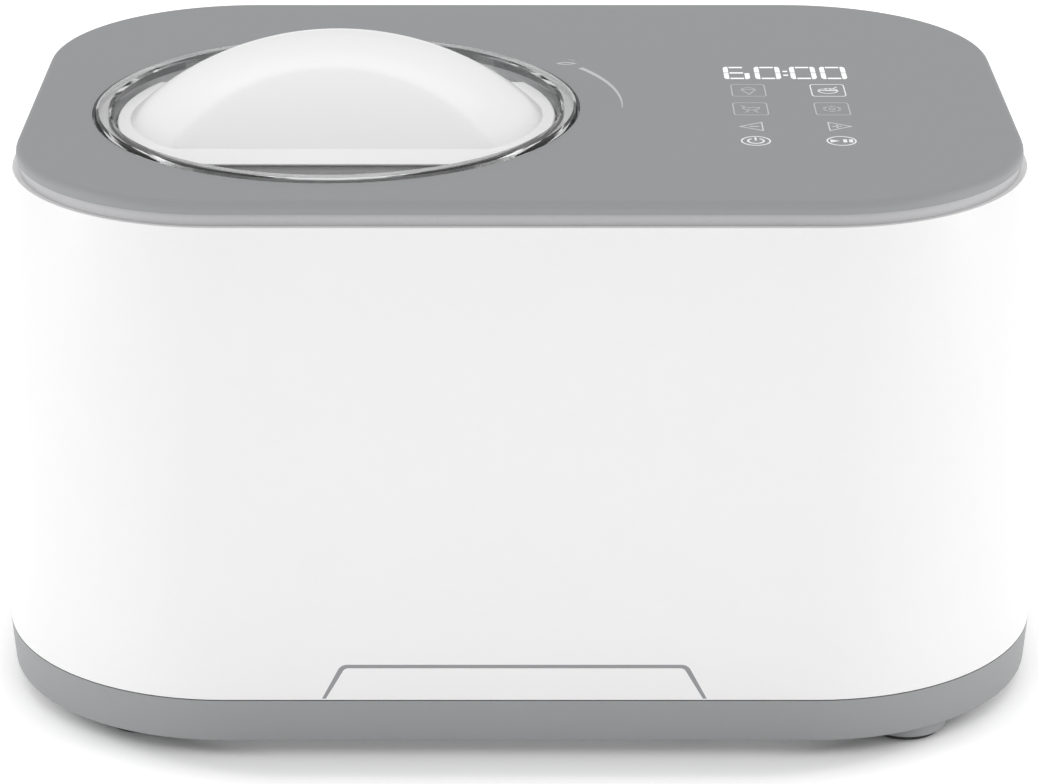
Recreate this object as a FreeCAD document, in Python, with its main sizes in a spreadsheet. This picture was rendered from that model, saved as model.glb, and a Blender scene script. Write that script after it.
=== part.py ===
"""Worktop ice cream maker with its own compressor, bowl drive and twist-lock lid.

Millimetres, +Z up, +X to the right seen from the front, +Y to the rear. The origin is on the worktop,
below the middle of the casing.
"""

import FreeCAD, Part
import math
import os
import re

import Sketcher

Vector = FreeCAD.Vector
doc = FreeCAD.newDocument("ice_cream_maker")

# Driving dimensions
DIMENSIONS = {
    # Casing levels above the worktop
    "post_foot": 2.5,
    "pan_bottom": 7.0,
    "pan_top": 25.0,
    "shoulder_level": 185.0,
    "housing_top": 218.6,
    "plate_under": 223.4,
    "plate_top": 228.4,
    # Casing half sizes and corner radii in plan
    "pan_taper": 4.0,
    "pan_wall": 8.0,
    "lip_inset": 4.0,
    "lip_height": 6.0,
    "pan_edge": 0.6,
    "foot_half_width": 210.0,
    "foot_half_depth": 142.0,
    "foot_corner": 94.0,
    "shoulder_half_width": 205.0,
    "shoulder_half_depth": 139.5,
    "shoulder_corner": 91.0,
    "top_half_width": 199.0,
    "top_half_depth": 137.2,
    "top_corner": 85.0,
    "plate_half_width": 197.0,
    "plate_half_depth": 136.0,
    "plate_corner": 81.5,
    "plate_edge": 3.2,
    "side_swell": 0.4,
    "front_swell": 0.2,
    "wall": 3.0,
    "seam_gap": 0.5,
    "clear_through": 200.0,
    "trim_inset": 1.0,
    "trim_width": 9.0,
    "flange_inset": 12.5,
    "skirt_inset": 13.0,
    "skirt_depth": 12.0,
    # Feet
    "foot_right": 153.7,
    "foot_middle": 69.5,
    "foot_left": -151.0,
    "foot_depth": 112.0,
    "foot_left_depth": 106.0,
    "foot_post_radius": 17.0,
    "rubber_radius": 14.5,
    "rubber_height": 4.0,
    # Air inlet slots under the compressor
    "air_left": 92.0,
    "air_width": 4.0,
    "air_pitch": 10.0,
    "air_front": -90.0,
    "air_rear": -10.0,
    # Silver line on the front
    "line_top_half": 66.0,
    "line_foot_half": 73.6,
    "line_middle": -2.1,
    "line_top_level": 39.0,
    "line_width": 1.5,
    "line_depth": 0.6,
    "line_corner": 2.5,
    # Rear panel
    "panel_half_width": 106.0,
    "panel_low": 36.0,
    "panel_high": 204.0,
    "panel_gap": 0.4,
    "panel_ledge": 5.0,
    "panel_seat_gap": 0.1,
    "panel_thickness": 1.6,
    "grille_x": 42.0,
    "grille_low": 58.0,
    "slot_pitch": 8.0,
    "slot_width": 3.6,
    "slot_length": 76.0,
    # Cord gland
    "gland_x": -89.0,
    "gland_level": 48.0,
    "gland_face": 140.3,
    "gland_proud": 1.4,
    "gland_flange": 10.0,
    "gland_radius": 6.8,
    "gland_length": 14.0,
    "gland_bore": 4.0,
    # Lid, bowl and drive axis
    "axis_x": -73.5,
    "axis_y": -16.3,
    "cutout_radius": 97.8,
    "rim_radius": 96.8,
    "rim_inner": 90.2,
    "rim_top": 229.6,
    "lid_floor": 220.4,
    "lid_floor_thickness": 2.4,
    "lid_skirt_inner": 88.2,
    "lid_skirt_outer": 90.4,
    "lid_skirt_foot": 212.2,
    "lug_radius": 93.0,
    "lug_top": 216.4,
    "lug_height": 2.6,
    "shelf_radius": 91.2,
    "notch_radius": 94.0,
    "shelf_top": 219.5,
    "shelf_thickness": 2.5,
    "collar_inner": 98.0,
    "collar_outer": 101.0,
    "seal_thickness": 1.0,
    # Lid handle
    "handle_radius": 87.8,
    "handle_half_band": 52.0,
    "handle_band_top": 224.8,
    "handle_lip_top": 221.0,
    "handle_edge": 0.6,
    "handle_corner": 6.0,
    "hump_radius": 122.0,
    "hump_crest": 257.2,
    "hump_foot_half": 44.8,
    "hump_ridge_half": 26.6,
    "hump_ridge_drop": 4.2,
    "hump_end_inset": 4.6,
    "hump_round": 8.0,
    "lean_overrun": 30.0,
    # Well and bowl
    "well_inner": 84.5,
    "well_wall": 2.0,
    "well_floor": 106.0,
    "well_rim": 210.0,
    "well_rim_thickness": 2.5,
    "bowl_outer": 83.0,
    "bowl_wall": 1.5,
    "bowl_bottom": 107.0,
    "bowl_rim_radius": 86.2,
    "chimney_inner": 8.0,
    "chimney_top": 163.0,
    "bowl_round": 9.0,
    "tab_top": 217.6,
    "tab_half_width": 22.0,
    # Evaporator coil and jacket
    "coil_tube_radius": 4.0,
    "coil_radius": 90.9,
    "coil_turns": 6,
    "coil_low": 116.0,
    "coil_pitch": 14.0,
    "coil_tail": 20.0,
    "jacket_inner": 95.6,
    "jacket_outer": 112.0,
    "jacket_low": 102.5,
    "jacket_window": 54.0,
    # Drive shaft and gears
    "shaft_radius": 6.0,
    "shaft_low": 61.0,
    "shaft_round_top": 164.0,
    "shaft_top": 180.0,
    "shaft_flat_half": 4.9,
    "running_gap": 0.05,
    "bush_radius": 9.0,
    "web_hole_radius": 8.0,
    "web_hole_ring": 26.0,
    "output_teeth": 70,
    "idler_pinion_teeth": 14,
    "slow_module": 1.25,
    "idler_teeth": 60,
    "motor_teeth": 12,
    "fast_module": 1.0,
    "slow_low": 82.0,
    "slow_high": 94.0,
    "fast_low": 71.0,
    "fast_high": 79.0,
    "idler_pin_radius": 4.0,
    "motor_shaft_radius": 3.0,
    # Gearbox and motor
    "box_left": -125.0,
    "box_right": 40.0,
    "box_half_depth": 52.0,
    "box_corner": 30.0,
    "box_low": 64.0,
    "box_high": 96.0,
    "box_wall": 3.0,
    "cover_top": 99.0,
    "boss_top": 102.0,
    "motor_radius": 28.0,
    "motor_low": 14.0,
    "can_wall": 2.0,
    "can_round": 1.5,
    "cap_height": 5.0,
    "rotor_radius": 20.5,
    "rotor_gap": 0.5,
    "rotor_slot_depth": 7.0,
    "rotor_slot_half": 1.2,
    "rotor_low": 26.0,
    "rotor_high": 56.0,
    "standoff_radius": 5.0,
    # Paddle
    "paddle_reach": 79.5,
    "paddle_low": 110.0,
    "paddle_high": 202.0,
    "paddle_bar": 10.0,
    "paddle_thickness": 4.0,
    "hub_radius": 15.0,
    "hub_bore": 11.0,
    "socket_gap": 0.3,
    "hub_top": 190.0,
    # Cooling set
    "compressor_x": 122.0,
    "compressor_y": -48.0,
    "compressor_radius": 56.0,
    "compressor_low": 27.0,
    "compressor_high": 157.0,
    "compressor_dome": 34.0,
    "compressor_foot": 14.0,
    "weld_low": 95.0,
    "weld_height": 4.0,
    "weld_proud": 2.5,
    "grommet_half_x": 54.0,
    "grommet_half_y": 40.0,
    "grommet_radius": 9.0,
    "terminal_low": 47.0,
    "terminal_height": 36.0,
    "plate_thickness": 3.0,
    "condenser_left": 12.0,
    "condenser_right": 112.0,
    "condenser_y": 77.0,
    "condenser_half_depth": 15.0,
    "condenser_run_low": 48.0,
    "condenser_run_pitch": 18.0,
    "condenser_tube_radius": 3.5,
    "fin_pitch": 5.0,
    "fin_margin": 9.0,
    "fin_thickness": 0.6,
    "fan_x": 62.0,
    "fan_level": 93.0,
    "fan_reach": 43.5,
    "fan_opening": 45.0,
    "fan_front": 97.0,
    "fan_depth": 21.0,
    "fan_hub": 16.0,
    "shroud_half": 52.0,
    "blade_level": 14.0,
    "blade_edge": 1.6,
    "blade_root_half": 5.0,
    "blade_root_rise": 3.6,
    "blade_tip_half": 11.0,
    "blade_tip_rise": 3.2,
    "fan_pin": 2.0,
    "fan_pin_low": 4.0,
    "fan_motor_low": 3.0,
    "fan_motor_high": 9.0,
    "fan_cup_low": 9.5,
    "fan_cup_high": 18.0,
    "fan_nose": 19.5,
    "drier_x": 140.0,
    "drier_radius": 9.0,
    "drier_neck": 3.5,
    "drier_cone": 10.0,
    "drier_low": 62.0,
    "drier_high": 140.0,
    "discharge_x": 127.0,
    "discharge_start": 8.4,
    "discharge_corner": 45.0,
    "discharge_level": 110.0,
    "tube_bend": 8.0,
    "liquid_radius": 3.0,
    "capillary_radius": 1.2,
    "capillary_x": 57.0,
    "capillary_corner": 40.0,
    "capillary_high": 172.0,
    "capillary_low": 115.5,
    "tail_offset": 44.0,
    "tail_gap": 0.4,
    "suction_x": 48.0,
    "suction_level": 130.0,
    # Control electronics
    "board_thickness": 1.6,
    "display_board_top": 214.6,
    "board_left": 75.0,
    "board_right": 145.0,
    "board_front": -75.0,
    "board_rear": 50.0,
    "key_left": 92.5,
    "key_right": 125.5,
    "key_row_top": 5.0,
    "key_row_middle": -20.0,
    "key_row_step": -43.6,
    "key_row_start": -62.2,
    "touch_radius": 6.0,
    "digits_left": 83.0,
    "digits_right": 136.5,
    "digits_front": 19.0,
    "digits_rear": 40.0,
    "digits_height": 7.0,
    "power_board_x": 160.0,
    "power_board_front": 25.0,
    "power_board_rear": 95.0,
    "power_board_high": 125.0,
}

sheet = doc.addObject("Spreadsheet::Sheet", "Dims")
for row, (alias, size) in enumerate(DIMENSIONS.items(), start=1):
    sheet.set(f"A{row}", alias)
    sheet.set(f"B{row}", str(size))
    sheet.setAlias(f"B{row}", alias)
doc.recompute()


def bound(text):
    """An expression with each dimension pointed at the sheet."""
    def point_at_sheet(word):
        return "Dims." + word.group() if word.group() in DIMENSIONS else word.group()
    return re.sub(r"[a-z][a-z_]+", point_at_sheet, str(text))


def number(text):
    """The present value of an expression on the dimensions."""
    return float(sheet.evalExpression(str(text)))


pieces = []


def new_body(label, x="0", y="0", compound=False):
    """A body that stands on the worktop with its own origin at x, y."""
    body = doc.addObject("PartDesign::Body", label)
    body.Label = label
    body.AllowCompound = compound
    body.setExpression("Placement.Base.x", bound(x))
    body.setExpression("Placement.Base.y", bound(y))
    pieces.append(body)
    return body


def on_axis(label, compound=False):
    """A body whose own origin is on the lid, bowl and drive axis."""
    return new_body(label, "axis_x", "axis_y", compound)


def new_sketch(body, plane="XY_Plane", level="0"):
    """A sketch on one of the body's own planes, moved along the plane's normal."""
    sketch = body.newObject("Sketcher::SketchObject", "Sketch")
    support = next(part for part in body.Origin.OriginFeatures if part.Role == plane)
    sketch.AttachmentSupport = [(support, "")]
    sketch.MapMode = "FlatFace"
    sketch.setExpression("AttachmentOffset.Base.z", bound(level))
    return sketch


def fix(sketch, kind, text, *place):
    """A dimension in a sketch, bound to an expression."""
    index = sketch.addConstraint(Sketcher.Constraint(kind, *place, number(text)))
    sketch.setExpression(f"Constraints[{index}]", bound(text))


def polygon(sketch, corners):
    """A closed outline of straight runs through corners given as pairs of expressions."""
    spots = [Vector(number(x), number(y), 0) for x, y in corners]
    after = spots[1:] + spots[:1]
    lines = [sketch.addGeometry(Part.LineSegment(a, b)) for a, b in zip(spots, after)]
    for line, following in zip(lines, lines[1:] + lines[:1]):
        sketch.addConstraint(Sketcher.Constraint("Coincident", line, 2, following, 1))
    for line, (x, y) in zip(lines, corners):
        fix(sketch, "DistanceX", x, -1, 1, line, 1)
        fix(sketch, "DistanceY", y, -1, 1, line, 1)
    return lines


def circle(sketch, radius, x="0", y="0"):
    """A full circle round x, y."""
    centre = Vector(number(x), number(y), 0)
    ring = sketch.addGeometry(Part.Circle(centre, Vector(0, 0, 1), number(radius)))
    fix(sketch, "DistanceX", x, -1, 1, ring, 3)
    fix(sketch, "DistanceY", y, -1, 1, ring, 3)
    fix(sketch, "Radius", radius, ring)


def rectangle(sketch, left, low, right, high):
    """A plain rectangle."""
    polygon(sketch, [(left, low), (right, low), (right, high), (left, high)])


def rounded_rectangle(sketch, half_width, half_depth, radius, x="0", y="0"):
    """A rectangle round x, y with four equal corner arcs."""
    wide, deep, bend = number(half_width), number(half_depth), number(radius)
    mid_x, mid_y = number(x), number(y)
    quarter = math.pi / 2
    arcs = []
    for turn, (side, end) in enumerate([(1, 1), (-1, 1), (-1, -1), (1, -1)]):
        centre = Vector(mid_x + side * (wide - bend), mid_y + end * (deep - bend), 0)
        ring = Part.Circle(centre, Vector(0, 0, 1), bend)
        arcs.append(sketch.addGeometry(Part.ArcOfCircle(ring, turn * quarter, (turn + 1) * quarter)))
    for arc, (side, end) in zip(arcs, [("+", "+"), ("-", "+"), ("-", "-"), ("+", "-")]):
        fix(sketch, "DistanceX", f"{x} {side} ({half_width} - ({radius}))", -1, 1, arc, 3)
        fix(sketch, "DistanceY", f"{y} {end} ({half_depth} - ({radius}))", -1, 1, arc, 3)
        fix(sketch, "Radius", radius, arc)
    for arc, following in zip(arcs, arcs[1:] + arcs[:1]):
        start = sketch.getPoint(arc, 2)
        run = sketch.addGeometry(Part.LineSegment(start, sketch.getPoint(following, 1)))
        sketch.addConstraint(Sketcher.Constraint("Tangent", arc, 2, run, 1))
        sketch.addConstraint(Sketcher.Constraint("Tangent", run, 2, following, 1))


def pad(body, sketch, length, both_ways=False, down=False):
    """Material from the sketch along its normal."""
    feature = body.newObject("PartDesign::Pad", "Pad")
    feature.Profile = sketch
    feature.setExpression("Length", bound(length))
    feature.SideType = "Symmetric" if both_ways else "One side"
    feature.Reversed = down
    return feature


def pocket(body, sketch, length=None, both_ways=False, up=False):
    """A cut from the sketch against its normal, right through when no length is given."""
    feature = body.newObject("PartDesign::Pocket", "Pocket")
    feature.Profile = sketch
    if length is None:
        feature.Type = "ThroughAll"
    else:
        feature.setExpression("Length", bound(length))
    feature.SideType = "Symmetric" if both_ways else "One side"
    feature.Reversed = up
    return feature


def turn(body, corners):
    """A round piece: an outline of radius and level pairs turned about the body's own axis."""
    sketch = new_sketch(body, "XZ_Plane")
    polygon(sketch, corners)
    feature = body.newObject("PartDesign::Revolution", "Revolution")
    feature.Profile = sketch
    feature.ReferenceAxis = (sketch, ["V_Axis"])
    return feature


def round_edges(body, feature, radius, wanted, chamfer=False):
    """A fillet or chamfer on the edges of a feature that a test picks."""
    doc.recompute()
    names = [f"Edge{i}" for i, edge in enumerate(feature.Shape.Edges, start=1) if wanted(edge)]
    rounding = body.newObject("PartDesign::Chamfer" if chamfer else "PartDesign::Fillet", "Rounding")
    rounding.Base = (feature, names)
    rounding.setExpression("Size" if chamfer else "Radius", bound(radius))
    return rounding


def at_level(level):
    """A test for edges that lie wholly at one level."""
    height = number(level)
    return lambda edge: abs(edge.BoundBox.ZMin - height) < 1e-4 and abs(edge.BoundBox.ZMax - height) < 1e-4


def polar(body, features, count):
    """Copies of features round the body's own upright axis."""
    axis = next(part for part in body.Origin.OriginFeatures if part.Role == "Z_Axis")
    pattern = body.newObject("PartDesign::PolarPattern", "Pattern")
    pattern.Originals = features
    pattern.Axis = (axis, [""])
    pattern.Angle = 360
    pattern.Occurrences = count
    body.Tip = pattern
    return pattern


def row_of(body, features, axis_role, length, count):
    """Copies of features in a straight row."""
    axis = next(part for part in body.Origin.OriginFeatures if part.Role == axis_role)
    pattern = body.newObject("PartDesign::LinearPattern", "Row")
    pattern.Originals = features
    pattern.Direction = (axis, [""])
    pattern.setExpression("Length", bound(length))
    pattern.Occurrences = count
    body.Tip = pattern
    return pattern


def loft(body, sections, cut=False):
    """A loft through rounded rectangles given as level, half width, half depth and corner radius."""
    sketches = []
    for level, half_width, half_depth, radius in sections:
        sketch = new_sketch(body, level=level)
        rounded_rectangle(sketch, half_width, half_depth, radius)
        sketches.append(sketch)
    feature = body.newObject("PartDesign::SubtractiveLoft" if cut else "PartDesign::AdditiveLoft", "Loft")
    feature.Profile = sketches[0]
    feature.Sections = sketches[1:]
    return feature


def tube(label, corners, radius, bend):
    """A bent tube: straight runs through corners, joined by tangent arcs."""
    points = [Vector(*[number(text) for text in corner]) for corner in corners]
    bend_radius = number(bend)
    edges = []
    start = points[0]
    for before, corner, after in zip(points, points[1:], points[2:]):
        incoming = (corner - before).normalize()
        outgoing = (after - corner).normalize()
        half_turn = incoming.getAngle(outgoing) / 2
        reach = bend_radius * math.tan(half_turn)
        first = corner - incoming * reach
        last = corner + outgoing * reach
        inward = (outgoing - incoming).normalize()
        middle = corner + inward * (bend_radius / math.cos(half_turn) - bend_radius)
        edges.append(Part.LineSegment(start, first).toShape())
        edges.append(Part.Arc(first, middle, last).toShape())
        start = last
    edges.append(Part.LineSegment(start, points[-1]).toShape())
    return swept(label, edges, radius)


def swept(label, edges, radius):
    """A round tube along edges that follow one another."""
    first = edges[0]
    start = first.valueAt(first.FirstParameter)
    section = Part.Wire(Part.makeCircle(number(radius), start, first.tangentAt(first.FirstParameter)))
    piece = doc.addObject("Part::Feature", label)
    piece.Label = label
    piece.Shape = Part.Wire(edges).makePipeShell([section], True, False)
    pieces.append(piece)
    return piece


def upright_cylinders(label, radius, low, high, places):
    """A group of equal upright cylinders."""
    body = new_body(label, compound=True)
    sketch = new_sketch(body, level=low)
    for x, y in places:
        circle(sketch, radius, x, y)
    pad(body, sketch, f"{high} - ({low})")
    return body


# Base pan: tray with a locating lip, six foot posts and air slots under the compressor
FOOT_PLACES = [(x, f"{end}{depth}") for end in ("-", "") for x, depth in (
    ("foot_right", "foot_depth"), ("foot_middle", "foot_depth"), ("foot_left", "foot_left_depth"))]
AIR_SLOTS = 7
PAN_INSIDE = [f"{size} - pan_wall" for size in ("foot_half_width", "foot_half_depth", "foot_corner")]
LIP_OUTSIDE = [f"{size} - lip_inset" for size in ("foot_half_width", "foot_half_depth", "foot_corner")]
base_pan = new_body("base_pan")
pan_outline = new_sketch(base_pan, level="pan_top")
rounded_rectangle(pan_outline, "foot_half_width", "foot_half_depth", "foot_corner")
pan_form = pad(base_pan, pan_outline, "pan_top - pan_bottom", down=True)
pan_form.setExpression("TaperAngle", "-" + bound("pan_taper"))
round_edges(base_pan, pan_form, "pan_edge", at_level("pan_bottom"))
hollow = new_sketch(base_pan, level="pan_top")
rounded_rectangle(hollow, *PAN_INSIDE)
pocket(base_pan, hollow, "pan_top - pan_bottom - wall")
lip = new_sketch(base_pan, level="pan_top")
rounded_rectangle(lip, *LIP_OUTSIDE)
rounded_rectangle(lip, *PAN_INSIDE)
pad(base_pan, lip, "lip_height")
posts = new_sketch(base_pan, level="pan_bottom + 1")
for foot_x, foot_y in FOOT_PLACES:
    circle(posts, "foot_post_radius", foot_x, foot_y)
pad(base_pan, posts, "pan_bottom + 1 - post_foot", down=True)
rubber_seats = new_sketch(base_pan, level="post_foot")
for foot_x, foot_y in FOOT_PLACES:
    circle(rubber_seats, "rubber_radius", foot_x, foot_y)
pocket(base_pan, rubber_seats, "rubber_height - post_foot", up=True)
air_slot = new_sketch(base_pan, level="pan_bottom + wall")
rectangle(air_slot, "air_left", "air_front", "air_left + air_width", "air_rear")
first_slot = pocket(base_pan, air_slot, "wall + 1")
row_of(base_pan, [first_slot], "X_Axis", f"air_pitch * {AIR_SLOTS - 1}", AIR_SLOTS)

upright_cylinders("rubber_feet", "rubber_radius", "0", "rubber_height", FOOT_PLACES)

# Housing: one drafted white moulding with a soft shoulder, an inward top flange and an open back
HOUSING_OUTSIDE = [("pan_top + seam_gap", "foot_half_width", "foot_half_depth", "foot_corner"),
                   ("(pan_top + shoulder_level) / 2",
                    "(foot_half_width + shoulder_half_width) / 2 + side_swell",
                    "(foot_half_depth + shoulder_half_depth) / 2 + front_swell",
                    "(foot_corner + shoulder_corner) / 2"),
                   ("shoulder_level", "shoulder_half_width", "shoulder_half_depth", "shoulder_corner"),
                   ("housing_top", "top_half_width", "top_half_depth", "top_corner")]


def inset(sections, depth, top=None):
    """The same sections drawn in by a depth, with another top level if one is given."""
    drawn_in = [(level, f"{wide} - ({depth})", f"{deep} - ({depth})", f"{corner} - ({depth})")
                for level, wide, deep, corner in sections]
    if top is not None:
        drawn_in[-1] = (top, *drawn_in[-1][1:])
    return drawn_in


housing = new_body("housing_shell")
loft(housing, HOUSING_OUTSIDE)
loft(housing, inset(HOUSING_OUTSIDE, "wall", "housing_top - wall"), cut=True)
mouth = new_sketch(housing, level="housing_top")
rounded_rectangle(mouth, "plate_half_width - flange_inset", "plate_half_depth - flange_inset",
                  "plate_corner - flange_inset")
pocket(housing, mouth, "wall + 1")
back_opening = new_sketch(housing, "XZ_Plane")
rectangle(back_opening, "-panel_half_width + panel_ledge", "panel_low + panel_ledge",
          "panel_half_width - panel_ledge", "panel_high - panel_ledge")
pocket(housing, back_opening, "clear_through")

# Rear recess: the outer skin of the back wall, cut away where the rear panel sits on its ledge
skin = new_body("recess_skin")
pieces.remove(skin)
loft(skin, HOUSING_OUTSIDE)
loft(skin, inset(HOUSING_OUTSIDE, "panel_thickness + panel_seat_gap"), cut=True)
recess_prism = new_body("recess_prism")
pieces.remove(recess_prism)
recess_outline = new_sketch(recess_prism, "XZ_Plane")
rectangle(recess_outline, "-panel_half_width - panel_gap", "panel_low - panel_gap",
          "panel_half_width + panel_gap", "panel_high + panel_gap")
pad(recess_prism, recess_outline, "clear_through", down=True)
panel_recess = doc.addObject("Part::Common", "panel_recess")
panel_recess.Base = skin
panel_recess.Tool = recess_prism
housing_recessed = doc.addObject("Part::Cut", "housing_recessed")
housing_recessed.Base = housing
housing_recessed.Tool = panel_recess

# Trapezoid line: a bright strip let into the front of the housing
LINE_FOOT = "pan_top + 1"
LINE_OUTSIDE = "line_top_level + line_width"
LINE_OUTER = [("-line_foot_half - line_width", LINE_FOOT), ("-line_top_half - line_width", LINE_OUTSIDE),
              ("line_top_half + line_width", LINE_OUTSIDE), ("line_foot_half + line_width", LINE_FOOT)]
LINE_INNER = [("line_foot_half", LINE_FOOT), ("line_top_half", "line_top_level"),
              ("-line_top_half", "line_top_level"), ("-line_foot_half", LINE_FOOT)]
line_blank = new_body("line_blank")
pieces.remove(line_blank)
loft(line_blank, HOUSING_OUTSIDE)
loft(line_blank, inset(HOUSING_OUTSIDE, "line_depth"), cut=True)
line_prism = new_body("line_prism", "line_middle")
pieces.remove(line_prism)
line_outline = new_sketch(line_prism, "XZ_Plane")
polygon(line_outline, LINE_OUTER + LINE_INNER)
line_form = pad(line_prism, line_outline, "clear_through")


def along_depth_at(level):
    """A test for edges that run from front to rear at one level."""
    level_test = at_level(level)
    return lambda edge: edge.BoundBox.YLength > 1 and level_test(edge)


line_bent = round_edges(line_prism, line_form, "line_corner + line_width", along_depth_at(LINE_OUTSIDE))
round_edges(line_prism, line_bent, "line_corner", along_depth_at("line_top_level"))
front_line = doc.addObject("Part::Common", "front_line")
front_line.Label = "front_line"
front_line.Base = line_blank
front_line.Tool = line_prism
pieces.append(front_line)
housing_with_line = doc.addObject("Part::Cut", "housing_with_line")
housing_with_line.Base = housing_recessed
housing_with_line.Tool = front_line
housing.Label = "housing_blank"
housing_with_line.Label = "housing_shell"
pieces[pieces.index(housing)] = housing_with_line

# Rear panel: the back wall's own curve, with an outlet grille for the fan and an inlet grille
rear_panel = new_body("rear_panel")
loft(rear_panel, HOUSING_OUTSIDE)
loft(rear_panel, inset(HOUSING_OUTSIDE, "panel_thickness"), cut=True)
front_away = new_sketch(rear_panel, "XZ_Plane")
rectangle(front_away, "-400", "-50", "400", "400")
pocket(rear_panel, front_away, "400", up=True)
keep = new_sketch(rear_panel, "XZ_Plane")
rectangle(keep, "-400", "-50", "400", "400")
rectangle(keep, "-panel_half_width", "panel_low", "panel_half_width", "panel_high")
pocket(rear_panel, keep, "400", both_ways=True)
GRILLE_SLOTS = 10
for middle in ("grille_x", "-grille_x"):
    slot = new_sketch(rear_panel, "XZ_Plane")
    rectangle(slot, f"{middle} - slot_length / 2", "grille_low",
              f"{middle} + slot_length / 2", "grille_low + slot_width")
    slot_cut = pocket(rear_panel, slot, "clear_through")
    row_of(rear_panel, [slot_cut], "Z_Axis", f"slot_pitch * {GRILLE_SLOTS - 1}", GRILLE_SLOTS)
gland_hole = new_sketch(rear_panel, "XZ_Plane")
circle(gland_hole, "gland_radius + 0.2", "gland_x", "gland_level")
pocket(rear_panel, gland_hole, "clear_through")
gland_face = new_sketch(rear_panel, "XZ_Plane", "-gland_face")
circle(gland_face, "gland_flange + 0.2", "gland_x", "gland_level")
pocket(rear_panel, gland_face, "10")

gland = new_body("cord_gland")
gland_flange = new_sketch(gland, "XZ_Plane", "-gland_face")
circle(gland_flange, "gland_flange", "gland_x", "gland_level")
pad(gland, gland_flange, "gland_proud", down=True)
gland_barrel = new_sketch(gland, "XZ_Plane", "-gland_face")
circle(gland_barrel, "gland_radius", "gland_x", "gland_level")
pad(gland, gland_barrel, "gland_length")
gland_bore = new_sketch(gland, "XZ_Plane")
circle(gland_bore, "gland_bore", "gland_x", "gland_level")
pocket(gland, gland_bore, "clear_through")

# Silver trim ring between the housing and the top plate
trim_ring = new_body("trim_ring")
trim_outline = new_sketch(trim_ring, level="housing_top")
rounded_rectangle(trim_outline, "plate_half_width - trim_inset", "plate_half_depth - trim_inset",
                  "plate_corner - trim_inset")
rounded_rectangle(trim_outline, "plate_half_width - trim_inset - trim_width",
                  "plate_half_depth - trim_inset - trim_width", "plate_corner - trim_inset - trim_width")
pad(trim_ring, trim_outline, "plate_under - housing_top")

# Top plate: grey cover with a rounded edge, the lid's opening and a locating skirt
top_plate = new_body("top_plate")
plate_outline = new_sketch(top_plate, level="plate_under")
rounded_rectangle(plate_outline, "plate_half_width", "plate_half_depth", "plate_corner")
plate_slab = pad(top_plate, plate_outline, "plate_top - plate_under")
round_edges(top_plate, plate_slab, "plate_edge", at_level("plate_top"))
plate_skirt = new_sketch(top_plate, level="plate_under")
rounded_rectangle(plate_skirt, "plate_half_width - skirt_inset", "plate_half_depth - skirt_inset",
                  "plate_corner - skirt_inset")
rounded_rectangle(plate_skirt, "plate_half_width - skirt_inset - 2.5", "plate_half_depth - skirt_inset - 2.5",
                  "plate_corner - skirt_inset - 2.5")
pad(top_plate, plate_skirt, "skirt_depth", down=True)
lid_opening = new_sketch(top_plate, level="plate_top")
circle(lid_opening, "cutout_radius", "axis_x", "axis_y")
pocket(top_plate, lid_opening, "plate_top - plate_under + 1")

# Bowl collar: carries the lid seal and holds the lid's three lugs
collar = on_axis("bowl_collar")
turn(collar, [("shelf_radius", "shelf_top - shelf_thickness"),
              ("collar_inner", "shelf_top - shelf_thickness"),
              ("collar_inner", "well_rim + 0.1"), ("collar_outer", "well_rim + 0.1"),
              ("collar_outer", "plate_under - 0.1"), ("collar_inner", "plate_under - 0.1"),
              ("collar_inner", "shelf_top"), ("shelf_radius", "shelf_top")])
LUG_HALF = "14"
notch = new_sketch(collar, level="shelf_top")
rectangle(notch, f"-{LUG_HALF} - 3", "shelf_radius - 6", f"{LUG_HALF} + 3", "notch_radius")
polar(collar, [pocket(collar, notch, "shelf_thickness + 1")], 3)

# Evaporator well, wound coil and foam jacket
well = on_axis("evaporator_well")
turn(well, [("bush_radius", "well_floor - well_wall"), ("well_inner + well_wall", "well_floor - well_wall"),
            ("well_inner + well_wall", "well_rim - well_rim_thickness"),
            ("collar_outer", "well_rim - well_rim_thickness"), ("collar_outer", "well_rim"),
            ("well_inner", "well_rim"), ("well_inner", "well_floor"), ("bush_radius", "well_floor")])


def biarc(start, start_way, end, end_way):
    """Two arcs that leave start along start_way and reach end along end_way."""
    span = end - start
    ways = start_way + end_way
    square = ways.dot(ways) - 4
    slope = -2 * span.dot(ways)
    reach = (-slope - math.sqrt(slope * slope - 4 * square * span.dot(span))) / (2 * square)
    first_corner = start + start_way * reach
    last_corner = end - end_way * reach
    joint = (first_corner + last_corner) / 2
    arcs = []
    for a, corner, b in ((start, first_corner, joint), (joint, last_corner, end)):
        weight = (b - a).Length / (2 * reach)
        arcs.append(Part.Arc(a, (a + corner * (2 * weight) + b) / (2 + 2 * weight), b).toShape())
    return arcs


POINTS_PER_ARC = 12


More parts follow.
